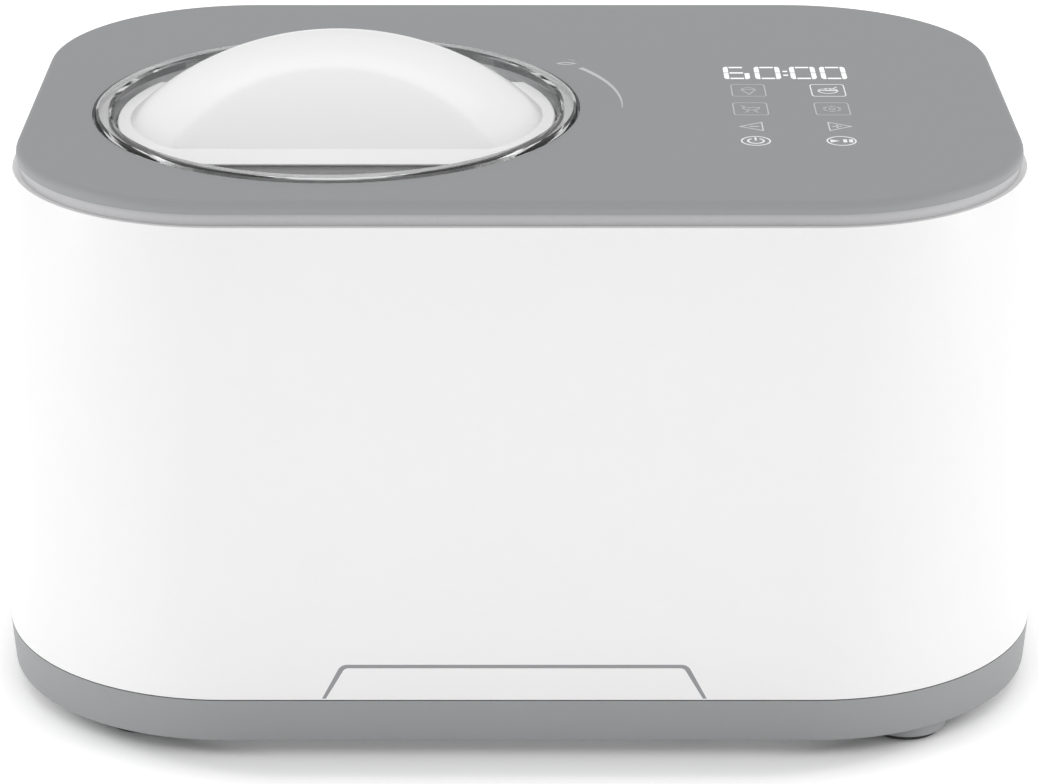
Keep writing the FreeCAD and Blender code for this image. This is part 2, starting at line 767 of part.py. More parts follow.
def evaporator_coil():
    """A tube wound round the well, with a straight tail at each end."""
    centre = Vector(number("axis_x"), number("axis_y"), 0)
    radius, low, pitch = number("coil_radius"), number("coil_low"), number("coil_pitch")
    turns = int(number("coil_turns"))
    rise = pitch / (2 * math.pi * radius)

    def place(angle):
        level = low + pitch * angle / (2 * math.pi)
        return centre + Vector(radius * math.cos(angle), radius * math.sin(angle), level)

    def way(angle):
        return Vector(-math.sin(angle), math.cos(angle), rise).normalize()

    quarter = math.pi / 2
    tail = number("coil_tail")
    last = turns * 2 * math.pi
    edges = [Part.LineSegment(place(0) - way(0) * tail, place(0)).toShape()]
    for step in range(turns * 4):
        angle = step * quarter
        edges += biarc(place(angle), way(angle), place(angle + quarter), way(angle + quarter))
    edges.append(Part.LineSegment(place(last), place(last) + way(last) * tail).toShape())
    points = [point for edge in edges for point in edge.discretize(POINTS_PER_ARC)]
    half_turn = 4 * POINTS_PER_ARC
    nearest = min(point.distanceToPoint(later)
                  for index, point in enumerate(points) for later in points[index + half_turn:])
    gap = nearest - 2 * number("coil_tube_radius")
    print("evaporator coil, least gap between turns:", round(gap, 2), "mm")
    return swept("evaporator_coil", edges, "coil_tube_radius")


evaporator_coil()

jacket = on_axis("insulation_jacket")
turn(jacket, [("jacket_inner", "jacket_low"), ("jacket_outer", "jacket_low"),
              ("jacket_outer", "well_rim - well_rim_thickness"),
              ("jacket_inner", "well_rim - well_rim_thickness")])
window = new_sketch(jacket, level="well_rim")
rectangle(window, "40", "-jacket_window", "140", "jacket_window")
pocket(jacket, window)

# Removable bowl with a chimney for the drive shaft and two lifting tabs
bowl = on_axis("mixing_bowl")
bowl_form = turn(bowl, [("chimney_inner", "bowl_bottom"), ("bowl_outer", "bowl_bottom"),
                        ("bowl_outer", "well_rim + 0.1"), ("bowl_rim_radius", "well_rim + 0.1"),
                        ("bowl_rim_radius", "well_rim + 0.1 + bowl_wall"),
                        ("bowl_outer - bowl_wall", "well_rim + 0.1 + bowl_wall"),
                        ("bowl_outer - bowl_wall", "bowl_bottom + bowl_wall"),
                        ("chimney_inner + bowl_wall", "bowl_bottom + bowl_wall"),
                        ("chimney_inner + bowl_wall", "chimney_top"), ("chimney_inner", "chimney_top")])


def outermost_at(level, radius):
    """A test for the wide round edge at one level."""
    level_test, reach = at_level(level), number(radius)
    return lambda edge: level_test(edge) and edge.BoundBox.XMax > reach - 1


inner_round = round_edges(bowl, bowl_form, "bowl_round - bowl_wall",
                          outermost_at("bowl_bottom + bowl_wall", "bowl_outer - bowl_wall"))
round_edges(bowl, inner_round, "bowl_round", outermost_at("bowl_bottom", "bowl_outer"))
tab_ring = new_sketch(bowl, level="well_rim + bowl_wall")
circle(tab_ring, "bowl_outer")
circle(tab_ring, "bowl_outer - bowl_wall")
pad(bowl, tab_ring, "tab_top - well_rim - bowl_wall")
between_tabs = new_sketch(bowl, level="well_rim + 0.1 + bowl_wall")
for side in ("", "-"):
    rectangle(between_tabs, "-clear_through", f"{side}tab_half_width",
              "clear_through", f"{side}clear_through")
pocket(bowl, between_tabs, "clear_through", up=True)

# Paddle: an open frame on a hub that drops over the chimney on to the shaft's flats
paddle = on_axis("paddle")
hub = turn(paddle, [("0", "paddle_low"), ("hub_radius + 2", "paddle_low"), ("hub_radius - 1", "hub_top - 4"),
                    ("hub_radius - 5", "hub_top"), ("0", "hub_top")])
frame_outline = new_sketch(paddle, "XZ_Plane")
BEVEL = "10"
polygon(frame_outline, [(f"-paddle_reach + {BEVEL}", "paddle_low"), (f"paddle_reach - {BEVEL}", "paddle_low"),
                        ("paddle_reach", f"paddle_low + {BEVEL}"), ("paddle_reach", "paddle_high"),
                        ("paddle_reach - paddle_bar", "paddle_high"), ("hub_radius", "hub_top - 22"),
                        ("-hub_radius", "hub_top - 22"), ("-paddle_reach + paddle_bar", "paddle_high"),
                        ("-paddle_reach", "paddle_high"), ("-paddle_reach", f"paddle_low + {BEVEL}")])
for side in ("", "-"):
    polygon(frame_outline, [(f"{side}(hub_radius + 8)", "paddle_low + paddle_bar"),
                            (f"{side}(paddle_reach - paddle_bar)", "paddle_low + paddle_bar + 4"),
                            (f"{side}(paddle_reach - paddle_bar)", "paddle_high - 20"),
                            (f"{side}(hub_radius + 8)", "hub_top - 38")])
pad(paddle, frame_outline, "paddle_thickness", both_ways=True)
hub_bore = new_sketch(paddle, level="paddle_low")
circle(hub_bore, "hub_bore")
pocket(paddle, hub_bore, "chimney_top + 1 - paddle_low", up=True)
hub_socket = new_sketch(paddle, level="paddle_low")
rectangle(hub_socket, "-shaft_radius - socket_gap", "-shaft_flat_half - socket_gap",
          "shaft_radius + socket_gap", "shaft_flat_half + socket_gap")
pocket(paddle, hub_socket, "shaft_top + 1 - paddle_low", up=True)

# Drive shaft with two flats at its top, its bushes and its seal
shaft = on_axis("drive_shaft")
turn(shaft, [("0", "shaft_low"), ("shaft_radius", "shaft_low"), ("shaft_radius", "shaft_top - 1"),
             ("shaft_radius - 1", "shaft_top"), ("0", "shaft_top")])
flats = new_sketch(shaft, level="shaft_top")
rectangle(flats, "-20", "shaft_flat_half", "20", "20")
rectangle(flats, "-20", "-shaft_flat_half", "20", "-20")
pocket(shaft, flats, "shaft_top - shaft_round_top")


def bush(label, low, high):
    """A plain ring that a shaft runs in."""
    body = on_axis(label)
    turn(body, [("shaft_radius + running_gap", low), ("bush_radius", low), ("bush_radius", high),
                ("shaft_radius + running_gap", high)])
    return body


bush("lower_bush", "box_low - 5", "box_low + box_wall + 2")
bush("upper_bush", "box_high", "boss_top")
bush("shaft_seal", "well_floor - well_wall", "well_floor + 0.6")


# Involute gears
def involute_outline(teeth, module, phase=0.0, backlash=0.12):
    """A spur gear's outline with arcs for flanks, tips and roots, one tooth centred on phase."""
    pressure = math.radians(20)
    pitch_radius = teeth * module / 2
    base_radius = pitch_radius * math.cos(pressure)
    tip_radius = pitch_radius + 0.95 * module
    root_radius = pitch_radius - 1.2 * module
    low_radius = max(root_radius, base_radius)

    def roll(radius):
        angle = math.acos(min(1.0, base_radius / radius))
        return math.tan(angle) - angle

    half_tooth = math.pi / (2 * teeth) - backlash / (2 * pitch_radius) + roll(pitch_radius)

    def spot(radius, angle):
        return Vector(radius * math.cos(angle), radius * math.sin(angle), 0)

    edges = []
    for tooth in range(teeth):
        middle = phase + 2 * math.pi * tooth / teeth
        gap_middle = middle + math.pi / teeth
        flank_radii = [low_radius, (low_radius + tip_radius) / 2, tip_radius]
        rising = [spot(r, middle - half_tooth + roll(r)) for r in flank_radii]
        falling = [spot(r, middle + half_tooth - roll(r)) for r in reversed(flank_radii)]
        edges.append(Part.Arc(*rising).toShape())
        edges.append(Part.Arc(rising[-1], spot(tip_radius, middle), falling[0]).toShape())
        edges.append(Part.Arc(*falling).toShape())
        next_start = spot(low_radius, middle + 2 * math.pi / teeth - half_tooth + roll(low_radius))
        edges.append(Part.Arc(falling[-1], spot(root_radius, gap_middle), next_start).toShape())
    return Part.Wire(edges)


def gear_blank(teeth, module, low, high, phase):
    """A toothed disc from low to high."""
    face = Part.Face(involute_outline(teeth, module, phase))
    face.translate(Vector(0, 0, low))
    return face.extrude(Vector(0, 0, high - low))


def gear_piece(label, solid, x, y):
    """A gear set on its axis."""
    piece = doc.addObject("Part::Feature", label)
    piece.Label = label
    piece.Shape = solid
    piece.Placement = FreeCAD.Placement(Vector(x, y, 0), FreeCAD.Rotation())
    pieces.append(piece)
    return piece


def drilled(solid, radius, low, high):
    """A solid with a round hole on its own axis."""
    return solid.cut(Part.makeCylinder(radius, high - low, Vector(0, 0, low)))


slow_module, fast_module = number("slow_module"), number("fast_module")
output_teeth, idler_pinion_teeth = int(number("output_teeth")), int(number("idler_pinion_teeth"))
idler_teeth, motor_teeth = int(number("idler_teeth")), int(number("motor_teeth"))
slow_low, slow_high = number("slow_low"), number("slow_high")
fast_low, fast_high = number("fast_low"), number("fast_high")
axis_x, axis_y = number("axis_x"), number("axis_y")
idler_x = axis_x + slow_module * (output_teeth + idler_pinion_teeth) / 2
motor_x = idler_x + fast_module * (idler_teeth + motor_teeth) / 2
IDLER_X = "axis_x + slow_module * (output_teeth + idler_pinion_teeth) / 2"
MOTOR_X = f"{IDLER_X} + fast_module * (idler_teeth + motor_teeth) / 2"

output_solid = gear_blank(output_teeth, slow_module, slow_low, slow_high, 0.0)
web_hole, web_ring = number("web_hole_radius"), number("web_hole_ring")
web_holes = []
for hole in range(6):
    around = math.pi / 6 + hole * math.pi / 3
    foot = Vector(web_ring * math.cos(around), web_ring * math.sin(around), slow_low - 1)
    web_holes.append(Part.makeCylinder(web_hole, slow_high - slow_low + 2, foot))
output_solid = output_solid.cut(web_holes)
output_solid = drilled(output_solid, number("shaft_radius"), slow_low - 1, slow_high + 1)
gear_piece("output_gear", output_solid, axis_x, axis_y)

pinion_phase = math.pi + math.pi / idler_pinion_teeth
idler_solid = gear_blank(idler_pinion_teeth, slow_module, fast_high, slow_high, pinion_phase)
idler_wheel = gear_blank(idler_teeth, fast_module, fast_low, fast_high, 0.0)
idler_solid = idler_solid.fuse(idler_wheel).removeSplitter()
idler_bore = number("idler_pin_radius + running_gap")
gear_piece("idler_gear", drilled(idler_solid, idler_bore, fast_low - 1, slow_high + 1), idler_x, axis_y)

motor_phase = math.pi + math.pi / motor_teeth
motor_solid = gear_blank(motor_teeth, fast_module, fast_low - 1, fast_high + 1, motor_phase)
motor_bore = number("motor_shaft_radius")
gear_piece("motor_pinion", drilled(motor_solid, motor_bore, fast_low - 2, fast_high + 2), motor_x, axis_y)

upright_cylinders("idler_pin", "idler_pin_radius", "box_low + box_wall", "box_high", [(IDLER_X, "axis_y")])
upright_cylinders("motor_shaft", "motor_shaft_radius", "motor_low + cap_height + 1", "fast_high + 3",
                  [(MOTOR_X, "axis_y")])

# Gearbox: tray, cover and stand-offs, with the motor hung below
BOX_X = "(box_left + box_right) / 2"
BOX_HALF = "(box_right - box_left) / 2"
gearbox_base = new_body("gearbox_base")
tray = new_sketch(gearbox_base, level="box_low")
rounded_rectangle(tray, BOX_HALF, "box_half_depth", "box_corner", BOX_X, "axis_y")
pad(gearbox_base, tray, "box_high - box_low")
tray_hollow = new_sketch(gearbox_base, level="box_high")
rounded_rectangle(tray_hollow, f"{BOX_HALF} - box_wall", "box_half_depth - box_wall", "box_corner - box_wall",
                  BOX_X, "axis_y")
pocket(gearbox_base, tray_hollow, "box_high - box_low - box_wall")
shaft_boss = new_sketch(gearbox_base, level="box_low - 5")
circle(shaft_boss, "bush_radius + 4", "axis_x", "axis_y")
pad(gearbox_base, shaft_boss, "box_wall + 7")
shaft_hole = new_sketch(gearbox_base, level="box_high")
circle(shaft_hole, "bush_radius", "axis_x", "axis_y")
circle(shaft_hole, "motor_shaft_radius + 2", MOTOR_X, "axis_y")
pocket(gearbox_base, shaft_hole)

gearbox_cover = new_body("gearbox_cover")
lid_sheet = new_sketch(gearbox_cover, level="box_high")
rounded_rectangle(lid_sheet, BOX_HALF, "box_half_depth", "box_corner", BOX_X, "axis_y")
pad(gearbox_cover, lid_sheet, "cover_top - box_high")
cover_boss = new_sketch(gearbox_cover, level="cover_top")
circle(cover_boss, "bush_radius + 4", "axis_x", "axis_y")
pad(gearbox_cover, cover_boss, "boss_top - cover_top")
cover_hole = new_sketch(gearbox_cover, level="boss_top")
circle(cover_hole, "bush_radius", "axis_x", "axis_y")
pocket(gearbox_cover, cover_hole)

STANDOFF_PLACES = [(f"{BOX_X} {sx} ({BOX_HALF} - 12)", f"axis_y {sy} (box_half_depth - 12)")
                   for sx in "+-" for sy in "+-"]
upright_cylinders("gearbox_standoffs", "standoff_radius", "pan_bottom + wall", "box_low", STANDOFF_PLACES)

motor_can = new_body("motor_can", MOTOR_X, "axis_y")
can_form = turn(motor_can, [("motor_radius - can_wall", "motor_low + cap_height"),
                            ("motor_radius", "motor_low + cap_height"),
                            ("motor_radius", "box_low"), ("motor_shaft_radius + running_gap", "box_low"),
                            ("motor_shaft_radius + running_gap", "box_low - can_wall"),
                            ("motor_radius - can_wall", "box_low - can_wall")])
round_edges(motor_can, can_form, "can_round", lambda edge: at_level("box_low")(edge) and edge.Length > 100)
motor_cap = new_body("motor_end_cap", MOTOR_X, "axis_y")
turn(motor_cap, [("0", "motor_low"), ("motor_radius - 6", "motor_low"), ("motor_radius", "motor_low + 3"),
                 ("motor_radius", "motor_low + cap_height"), ("0", "motor_low + cap_height")])
magnets = new_body("motor_magnets", MOTOR_X, "axis_y")
turn(magnets, [("rotor_radius + rotor_gap", "rotor_low"), ("motor_radius - can_wall", "rotor_low"),
               ("motor_radius - can_wall", "rotor_high"), ("rotor_radius + rotor_gap", "rotor_high")])
ROTOR_SLOTS = 12
rotor = new_body("rotor_core", MOTOR_X, "axis_y")
turn(rotor, [("motor_shaft_radius", "rotor_low"), ("rotor_radius", "rotor_low"),
             ("rotor_radius", "rotor_high"), ("motor_shaft_radius", "rotor_high")])
winding_slot = new_sketch(rotor, level="rotor_high")
rectangle(winding_slot, "rotor_radius - rotor_slot_depth", "-rotor_slot_half",
          "rotor_radius + 1", "rotor_slot_half")
polar(rotor, [pocket(rotor, winding_slot)], ROTOR_SLOTS)

# Compressor on its plate and grommets
compressor = new_body("compressor_shell", "compressor_x", "compressor_y")
shell_form = turn(compressor, [("0", "compressor_low"), ("compressor_radius", "compressor_low"),
                               ("compressor_radius", "weld_low"),
                               ("compressor_radius + weld_proud", "weld_low"),
                               ("compressor_radius + weld_proud", "weld_low + weld_height"),
                               ("compressor_radius", "weld_low + weld_height"),
                               ("compressor_radius", "compressor_high"), ("0", "compressor_high")])
shell_dome = round_edges(compressor, shell_form, "compressor_dome", at_level("compressor_high"))
round_edges(compressor, shell_dome, "compressor_foot", at_level("compressor_low"))
COMPRESSOR_CORNERS = [(f"compressor_x {across} grommet_half_x", f"compressor_y {along} grommet_half_y")
                      for across in "+-" for along in "+-"]
compressor_plate = new_body("compressor_plate")
plate_sheet = new_sketch(compressor_plate, level="compressor_low - plate_thickness")
rounded_rectangle(plate_sheet, "grommet_half_x + 10", "grommet_half_y + 10", "12",
                  "compressor_x", "compressor_y")
pad(compressor_plate, plate_sheet, "plate_thickness")
upright_cylinders("compressor_grommets", "grommet_radius", "pan_bottom + wall",
                  "compressor_low - plate_thickness", COMPRESSOR_CORNERS)
terminal = new_body("terminal_cover", "compressor_x", "compressor_y")
terminal_outline = new_sketch(terminal, level="terminal_low")
rounded_rectangle(terminal_outline, "17", "10", "5", "0", "compressor_radius + 4")
pad(terminal, terminal_outline, "terminal_height")
shell_clear = new_sketch(terminal, level="terminal_low")
circle(shell_clear, "compressor_radius")
pocket(terminal, shell_clear, "terminal_height + 1", up=True)

# Condenser: serpentine tube, fins and end plates
RUNS = 6


def run_level(run):
    """The level of one of the condenser's straight runs, counted from the lowest."""
    return f"condenser_run_low + condenser_run_pitch * {run}"


condenser_fins = new_body("condenser_fins", compound=True)
fin = new_sketch(condenser_fins, "YZ_Plane", "condenser_left + 2")
rectangle(fin, "condenser_y - condenser_half_depth", f"{run_level(0)} - fin_margin",
          "condenser_y + condenser_half_depth", f"{run_level(RUNS - 1)} + fin_margin")
for run in range(RUNS):
    circle(fin, "condenser_tube_radius + 0.1", "condenser_y", run_level(run))
FIN_COUNT = 20
first_fin = pad(condenser_fins, fin, "fin_thickness")
row_of(condenser_fins, [first_fin], "X_Axis", f"fin_pitch * {FIN_COUNT - 1}", FIN_COUNT)

end_plates = new_body("condenser_end_plates", compound=True)
for level in ("condenser_left - 1", "condenser_right"):
    end_plate = new_sketch(end_plates, "YZ_Plane", level)
    rectangle(end_plate, "condenser_y - condenser_half_depth", "pan_bottom + wall",
              "condenser_y + condenser_half_depth", f"{run_level(RUNS - 1)} + fin_margin + 3")
    for run in range(RUNS):
        circle(end_plate, "condenser_tube_radius + 0.1", "condenser_y",
               run_level(run))
    pad(end_plates, end_plate, "1")


def condenser_tube():
    """One tube that runs to and fro through the fins."""
    left, right = number("condenser_left - 5"), number("condenser_right + 5")
    y, low, pitch = number("condenser_y"), number("condenser_run_low"), number("condenser_run_pitch")
    bend = pitch / 2
    edges = []
    for run in range(RUNS):
        level = low + pitch * (RUNS - 1 - run)
        leftward = run % 2 == 0
        start, end = (right, left) if leftward else (left, right)
        edges.append(Part.LineSegment(Vector(start, y, level), Vector(end, y, level)).toShape())
        if run < RUNS - 1:
            bulge = -bend if leftward else bend
            edges.append(Part.Arc(Vector(end, y, level), Vector(end + bulge, y, level - bend),
                                  Vector(end, y, level - pitch)).toShape())
    return swept("condenser_tube", edges, "condenser_tube_radius")


condenser_tube()

# Fan: shroud that stands on the pan, motor and seven-bladed rotor
shroud = new_body("fan_shroud")
shroud_outline = new_sketch(shroud, "XZ_Plane", "-fan_front - fan_depth")
rectangle(shroud_outline, "fan_x - shroud_half", "pan_bottom + wall",
          "fan_x + shroud_half", "fan_level + shroud_half")
circle(shroud_outline, "fan_opening", "fan_x", "fan_level")
pad(shroud, shroud_outline, "fan_depth")
for left, low, right, high in (("-fan_opening - 2", "-4", "fan_opening + 2", "4"),
                               ("-4", "-fan_opening - 2", "4", "fan_opening + 2")):
    arm = new_sketch(shroud, "XZ_Plane", "-fan_front - 3")
    rectangle(arm, f"fan_x + {left}", f"fan_level + {low}", f"fan_x + {right}", f"fan_level + {high}")
    pad(shroud, arm, "3")
spider = new_sketch(shroud, "XZ_Plane", "-fan_front - 3")
circle(spider, "fan_hub + 1", "fan_x", "fan_level")
pad(shroud, spider, "3")


def fan_body(label):
    """A body whose own axis is the fan's, pointing to the rear."""
    body = doc.addObject("PartDesign::Body", label)
    body.Label = label
    body.Placement = FreeCAD.Placement(Vector(number("fan_x"), number("fan_front"), number("fan_level")),
                                       FreeCAD.Rotation(Vector(1, 0, 0), -90))
    for axis, size in (("x", "fan_x"), ("y", "fan_front"), ("z", "fan_level")):
        body.setExpression(f"Placement.Base.{axis}", bound(size))
    pieces.append(body)
    return body


fan_motor = fan_body("fan_motor")
turn(fan_motor, [("fan_pin + running_gap", "fan_motor_low"), ("fan_hub", "fan_motor_low"),
                 ("fan_hub", "fan_motor_high"), ("fan_pin + running_gap", "fan_motor_high")])
fan_rotor = fan_body("fan_rotor")
turn(fan_rotor, [("0", "fan_pin_low"), ("fan_pin", "fan_pin_low"), ("fan_pin", "fan_cup_low"),
                 ("fan_hub", "fan_cup_low"), ("fan_hub", "fan_cup_high"), ("fan_hub - 2", "fan_nose"),
                 ("0", "fan_nose")])
BLADES = 7
blade_sketches = []
for reach, half_chord, half_rise in (("fan_hub - 1.5", "blade_root_half", "blade_root_rise"),
                                     ("fan_reach - 0.5", "blade_tip_half", "blade_tip_rise")):
    blade_end = new_sketch(fan_rotor, "YZ_Plane", reach)
    low, high = f"blade_level - {half_rise}", f"blade_level + {half_rise}"
    polygon(blade_end, [(f"-{half_chord}", low), (f"-{half_chord} + blade_edge", low), (half_chord, high),
                        (f"{half_chord} - blade_edge", high)])
    blade_sketches.append(blade_end)
blade = fan_rotor.newObject("PartDesign::AdditiveLoft", "Blade")
blade.Profile = blade_sketches[0]
blade.Sections = blade_sketches[1:]
polar(fan_rotor, [blade], BLADES)

# Refrigerant lines and filter drier
drier = new_body("filter_drier", "drier_x", "condenser_y")
turn(drier, [("0", "drier_low"), ("drier_neck", "drier_low"), ("drier_radius", "drier_low + drier_cone"),
             ("drier_radius", "drier_high - drier_cone"), ("drier_neck", "drier_high"), ("0", "drier_high")])
CONDENSER_TOP = run_level(RUNS - 1)
tube("discharge_tube", [("discharge_x", "discharge_start", "discharge_level"),
                        ("discharge_x", "discharge_corner", "discharge_level"),
                        ("discharge_x", "discharge_corner", CONDENSER_TOP),
                        ("discharge_x", "condenser_y", CONDENSER_TOP),
                        ("condenser_right + 5", "condenser_y", CONDENSER_TOP)], "condenser_tube_radius", "7")
tube("liquid_tube", [("condenser_right + 5", "condenser_y", "condenser_run_low"),
                     ("drier_x", "condenser_y", "condenser_run_low"),
                     ("drier_x", "condenser_y", "drier_low")], "liquid_radius", "tube_bend")
COIL_X = "axis_x + coil_radius"
COIL_TOP = "coil_low + coil_pitch * coil_turns + 0.5"
tube("capillary_tube", [("drier_x", "condenser_y", "drier_high"),
                        ("drier_x", "condenser_y", "capillary_high"),
                        ("capillary_x", "capillary_corner", "capillary_high"),
                        ("capillary_x", "axis_y - tail_offset", "capillary_high"),
                        ("capillary_x", "axis_y - tail_offset", "capillary_low"),
                        (COIL_X, "axis_y - tail_offset", "capillary_low"),
                        (COIL_X, "axis_y - coil_tail - tail_gap", "capillary_low")], "capillary_radius", "9")
tube("suction_tube", [(COIL_X, "axis_y + coil_tail + tail_gap", COIL_TOP),
                      (COIL_X, "axis_y + tail_offset", COIL_TOP),
                      ("suction_x", "axis_y + tail_offset", COIL_TOP),
                      ("suction_x", "axis_y + tail_offset", "suction_level"),
                      ("suction_x", "compressor_y", "suction_level"),
                      ("compressor_x - compressor_radius - 0.2", "compressor_y", "suction_level")],
     "coil_tube_radius", "10")

# Control electronics
KEY_ROWS = ["key_row_top", "key_row_middle", "key_row_step", "key_row_start"]
PAD_PLACES = [(column, row) for row in KEY_ROWS for column in ("key_left", "key_right")]
BOARD_CORNERS = [(x, y) for y in ("board_front + 4", "board_rear - 4")
                 for x in ("board_left + 4", "board_right - 4")]
display_board = new_body("display_board")
board_outline = new_sketch(display_board, level="display_board_top - board_thickness")
rectangle(board_outline, "board_left", "board_front", "board_right", "board_rear")
pad(display_board, board_outline, "board_thickness")
upright_cylinders("display_standoffs", "3", "display_board_top", "plate_under", BOARD_CORNERS)
upright_cylinders("touch_pads", "touch_radius", "display_board_top", "plate_under", PAD_PLACES)
digit_display = new_body("digit_display")
digit_block = new_sketch(digit_display, level="display_board_top")
rectangle(digit_block, "digits_left", "digits_front", "digits_right", "digits_rear")
pad(digit_display, digit_block, "digits_height")
power_board = new_body("power_board")
power_outline = new_sketch(power_board, "YZ_Plane", "power_board_x")
rectangle(power_outline, "power_board_front", "pan_bottom + wall", "power_board_rear", "power_board_high")
pad(power_board, power_outline, "board_thickness")
# Front, low, rear, high and height of the transformer, capacitor, relay and heat sink
POWER_PARTS = [("32", "30", "62", "60", "22"), ("70", "34", "88", "52", "16"),
               ("34", "74", "52", "96", "18"), ("62", "70", "86", "84", "12")]
power_parts = new_body("power_components", compound=True)
for front, low, rear, high, height in POWER_PARTS:
    component = new_sketch(power_parts, "YZ_Plane", "power_board_x + board_thickness")
    rectangle(component, front, low, rear, high)
    pad(power_parts, component, height)

# Lid: seal, clear twist-lock lid and white handle
lid_seal = on_axis("lid_seal")
turn(lid_seal, [("shelf_radius + 0.4", "shelf_top + 0.02"), ("rim_radius - 0.2", "shelf_top + 0.02"),
                ("rim_radius - 0.2", "shelf_top + seal_thickness"),
                ("shelf_radius + 0.4", "shelf_top + seal_thickness")])
lid_clear = on_axis("lid_clear")
turn(lid_clear, [("0", "lid_floor - lid_floor_thickness"),
                 ("lid_skirt_inner", "lid_floor - lid_floor_thickness"),
                 ("lid_skirt_inner", "lid_skirt_foot"), ("lid_skirt_outer", "lid_skirt_foot"),
                 ("lid_skirt_outer", "shelf_top + seal_thickness + 0.1"),
                 ("rim_radius", "shelf_top + seal_thickness + 0.1"), ("rim_radius", "rim_top - 1.6"),
                 ("rim_radius - 0.5", "rim_top - 0.5"), ("rim_radius - 1.6", "rim_top"),
                 ("rim_inner + 1", "rim_top"), ("rim_inner", "rim_top - 1"), ("rim_inner - 0.8", "lid_floor"),
                 ("0", "lid_floor")])
lug = new_sketch(lid_clear, level="lug_top")
rectangle(lug, f"-{LUG_HALF}", "lid_skirt_inner + 0.8", LUG_HALF, "lug_radius - 1")
polar(lid_clear, [pad(lid_clear, lug, "lug_height", down=True)], 3)

band = on_axis("handle_band")
pieces.remove(band)
disc = new_sketch(band, level="lid_floor + 0.05")
circle(disc, "handle_radius")
band_disc = pad(band, disc, "handle_band_top - lid_floor - 0.05")
for side in ("", "-"):
    window_side = new_sketch(band, level="handle_band_top")
    rectangle(window_side, "-clear_through", f"{side}handle_half_band",
              "clear_through", f"{side}clear_through")
    band_disc = pocket(band, window_side)
doc.recompute()
band_corners = round_edges(band, band_disc, "handle_corner",
                           lambda edge: edge.BoundBox.ZLength > 3 and edge.BoundBox.XLength < 1)
band_slopes = band_corners
for side in ("", "-"):
    slope = new_sketch(band, "YZ_Plane")
    polygon(slope, [(f"{side}hump_foot_half", "handle_band_top"),
                    (f"{side}handle_half_band", "handle_lip_top"),
                    (f"{side}clear_through", "handle_lip_top"),
                    (f"{side}clear_through", "handle_band_top + 1"),
                    (f"{side}hump_foot_half", "handle_band_top + 1")])
    band_slopes = pocket(band, slope, "clear_through * 2", both_ways=True)
doc.recompute()
round_edges(band, band_slopes, "handle_edge",
            lambda edge: at_level("handle_band_top")(edge) and edge.BoundBox.YLength > 1)

# Handle hump: a crown swung about a low axis, with a flat face leaning back at the front and at the rear
hump = on_axis("handle_hump")
pieces.remove(hump)
hump_section = new_sketch(hump, "YZ_Plane")
CROWN_RADIUS = "(hump_ridge_half^2 + hump_ridge_drop^2) / (2 * hump_ridge_drop)"
CROWN_END = f"hump_crest - {CROWN_RADIUS} + sqrt(({CROWN_RADIUS})^2 - hump_foot_half^2)"
HUMP_LOW = "lid_floor + 0.5"
SWING_LEVEL = "hump_crest - hump_radius"
left, right = -number("hump_foot_half"), number("hump_foot_half")
crown_end, hump_low = number(CROWN_END), number(HUMP_LOW)
corners = [Vector(left, crown_end), Vector(left, hump_low), Vector(right, hump_low), Vector(right, crown_end)]
crown_arc = Part.Arc(corners[3], Vector(0, number("hump_crest")), corners[0])
crown = hump_section.addGeometry(crown_arc)
side_lines = [Part.LineSegment(a, b) for a, b in zip(corners, corners[1:])]
sides = [hump_section.addGeometry(line) for line in side_lines]
for earlier, later in zip([crown] + sides, sides + [crown]):
    hump_section.addConstraint(Sketcher.Constraint("Coincident", earlier, 2, later, 1))
for side, half, level in zip(sides, ("-hump_foot_half", "-hump_foot_half", "hump_foot_half"),
                             (CROWN_END, HUMP_LOW, HUMP_LOW)):
    fix(hump_section, "DistanceX", half, -1, 1, side, 1)
    fix(hump_section, "DistanceY", level, -1, 1, side, 1)
fix(hump_section, "DistanceX", "hump_foot_half", -1, 1, crown, 1)
fix(hump_section, "DistanceY", CROWN_END, -1, 1, crown, 1)
fix(hump_section, "Radius", CROWN_RADIUS, crown)
swing_level = number(SWING_LEVEL)
swing_line = Part.LineSegment(Vector(left, swing_level, 0), Vector(right, swing_level, 0))
swing_axis = hump_section.addGeometry(swing_line, True)
for end, half in ((1, "-hump_foot_half"), (2, "hump_foot_half")):
    fix(hump_section, "DistanceX", half, -1, 1, swing_axis, end)
    fix(hump_section, "DistanceY", SWING_LEVEL, -1, 1, swing_axis, end)
ARCH_SWING = 110
arch = hump.newObject("PartDesign::Revolution", "Arch")
arch.Profile = hump_section
arch.ReferenceAxis = (hump_section, ["Axis0"])
arch.Angle = ARCH_SWING
arch.Midplane = True
RIDGE = "hump_crest - hump_ridge_drop"
LEAN = f"(hump_foot_half - hump_ridge_half) / ({RIDGE} - handle_band_top)"
leaning = arch
for side in ("", "-"):
    lean = new_sketch(hump, "YZ_Plane")
    polygon(lean, [(f"{side}(hump_foot_half + {LEAN} * lean_overrun)", "handle_band_top - lean_overrun"),
                   (f"{side}(hump_ridge_half - {LEAN} * lean_overrun)", f"{RIDGE} + lean_overrun"),
                   (f"{side}clear_through", f"{RIDGE} + lean_overrun"),
                   (f"{side}clear_through", "handle_band_top - lean_overrun")])
    leaning = pocket(hump, lean, "clear_through * 2", both_ways=True)
ridge_level = number(RIDGE)
round_edges(hump, leaning, "hump_round", lambda edge: edge.BoundBox.ZMax > ridge_level - 1)
trim_cylinder = doc.addObject("Part::Cylinder", "handle_limit")
trim_cylinder.setExpression("Radius", bound("handle_radius - hump_end_inset"))
trim_cylinder.setExpression("Height", bound("hump_crest - lid_floor"))
trim_cylinder.setExpression("Placement.Base.x", bound("axis_x"))
trim_cylinder.setExpression("Placement.Base.y", bound("axis_y"))
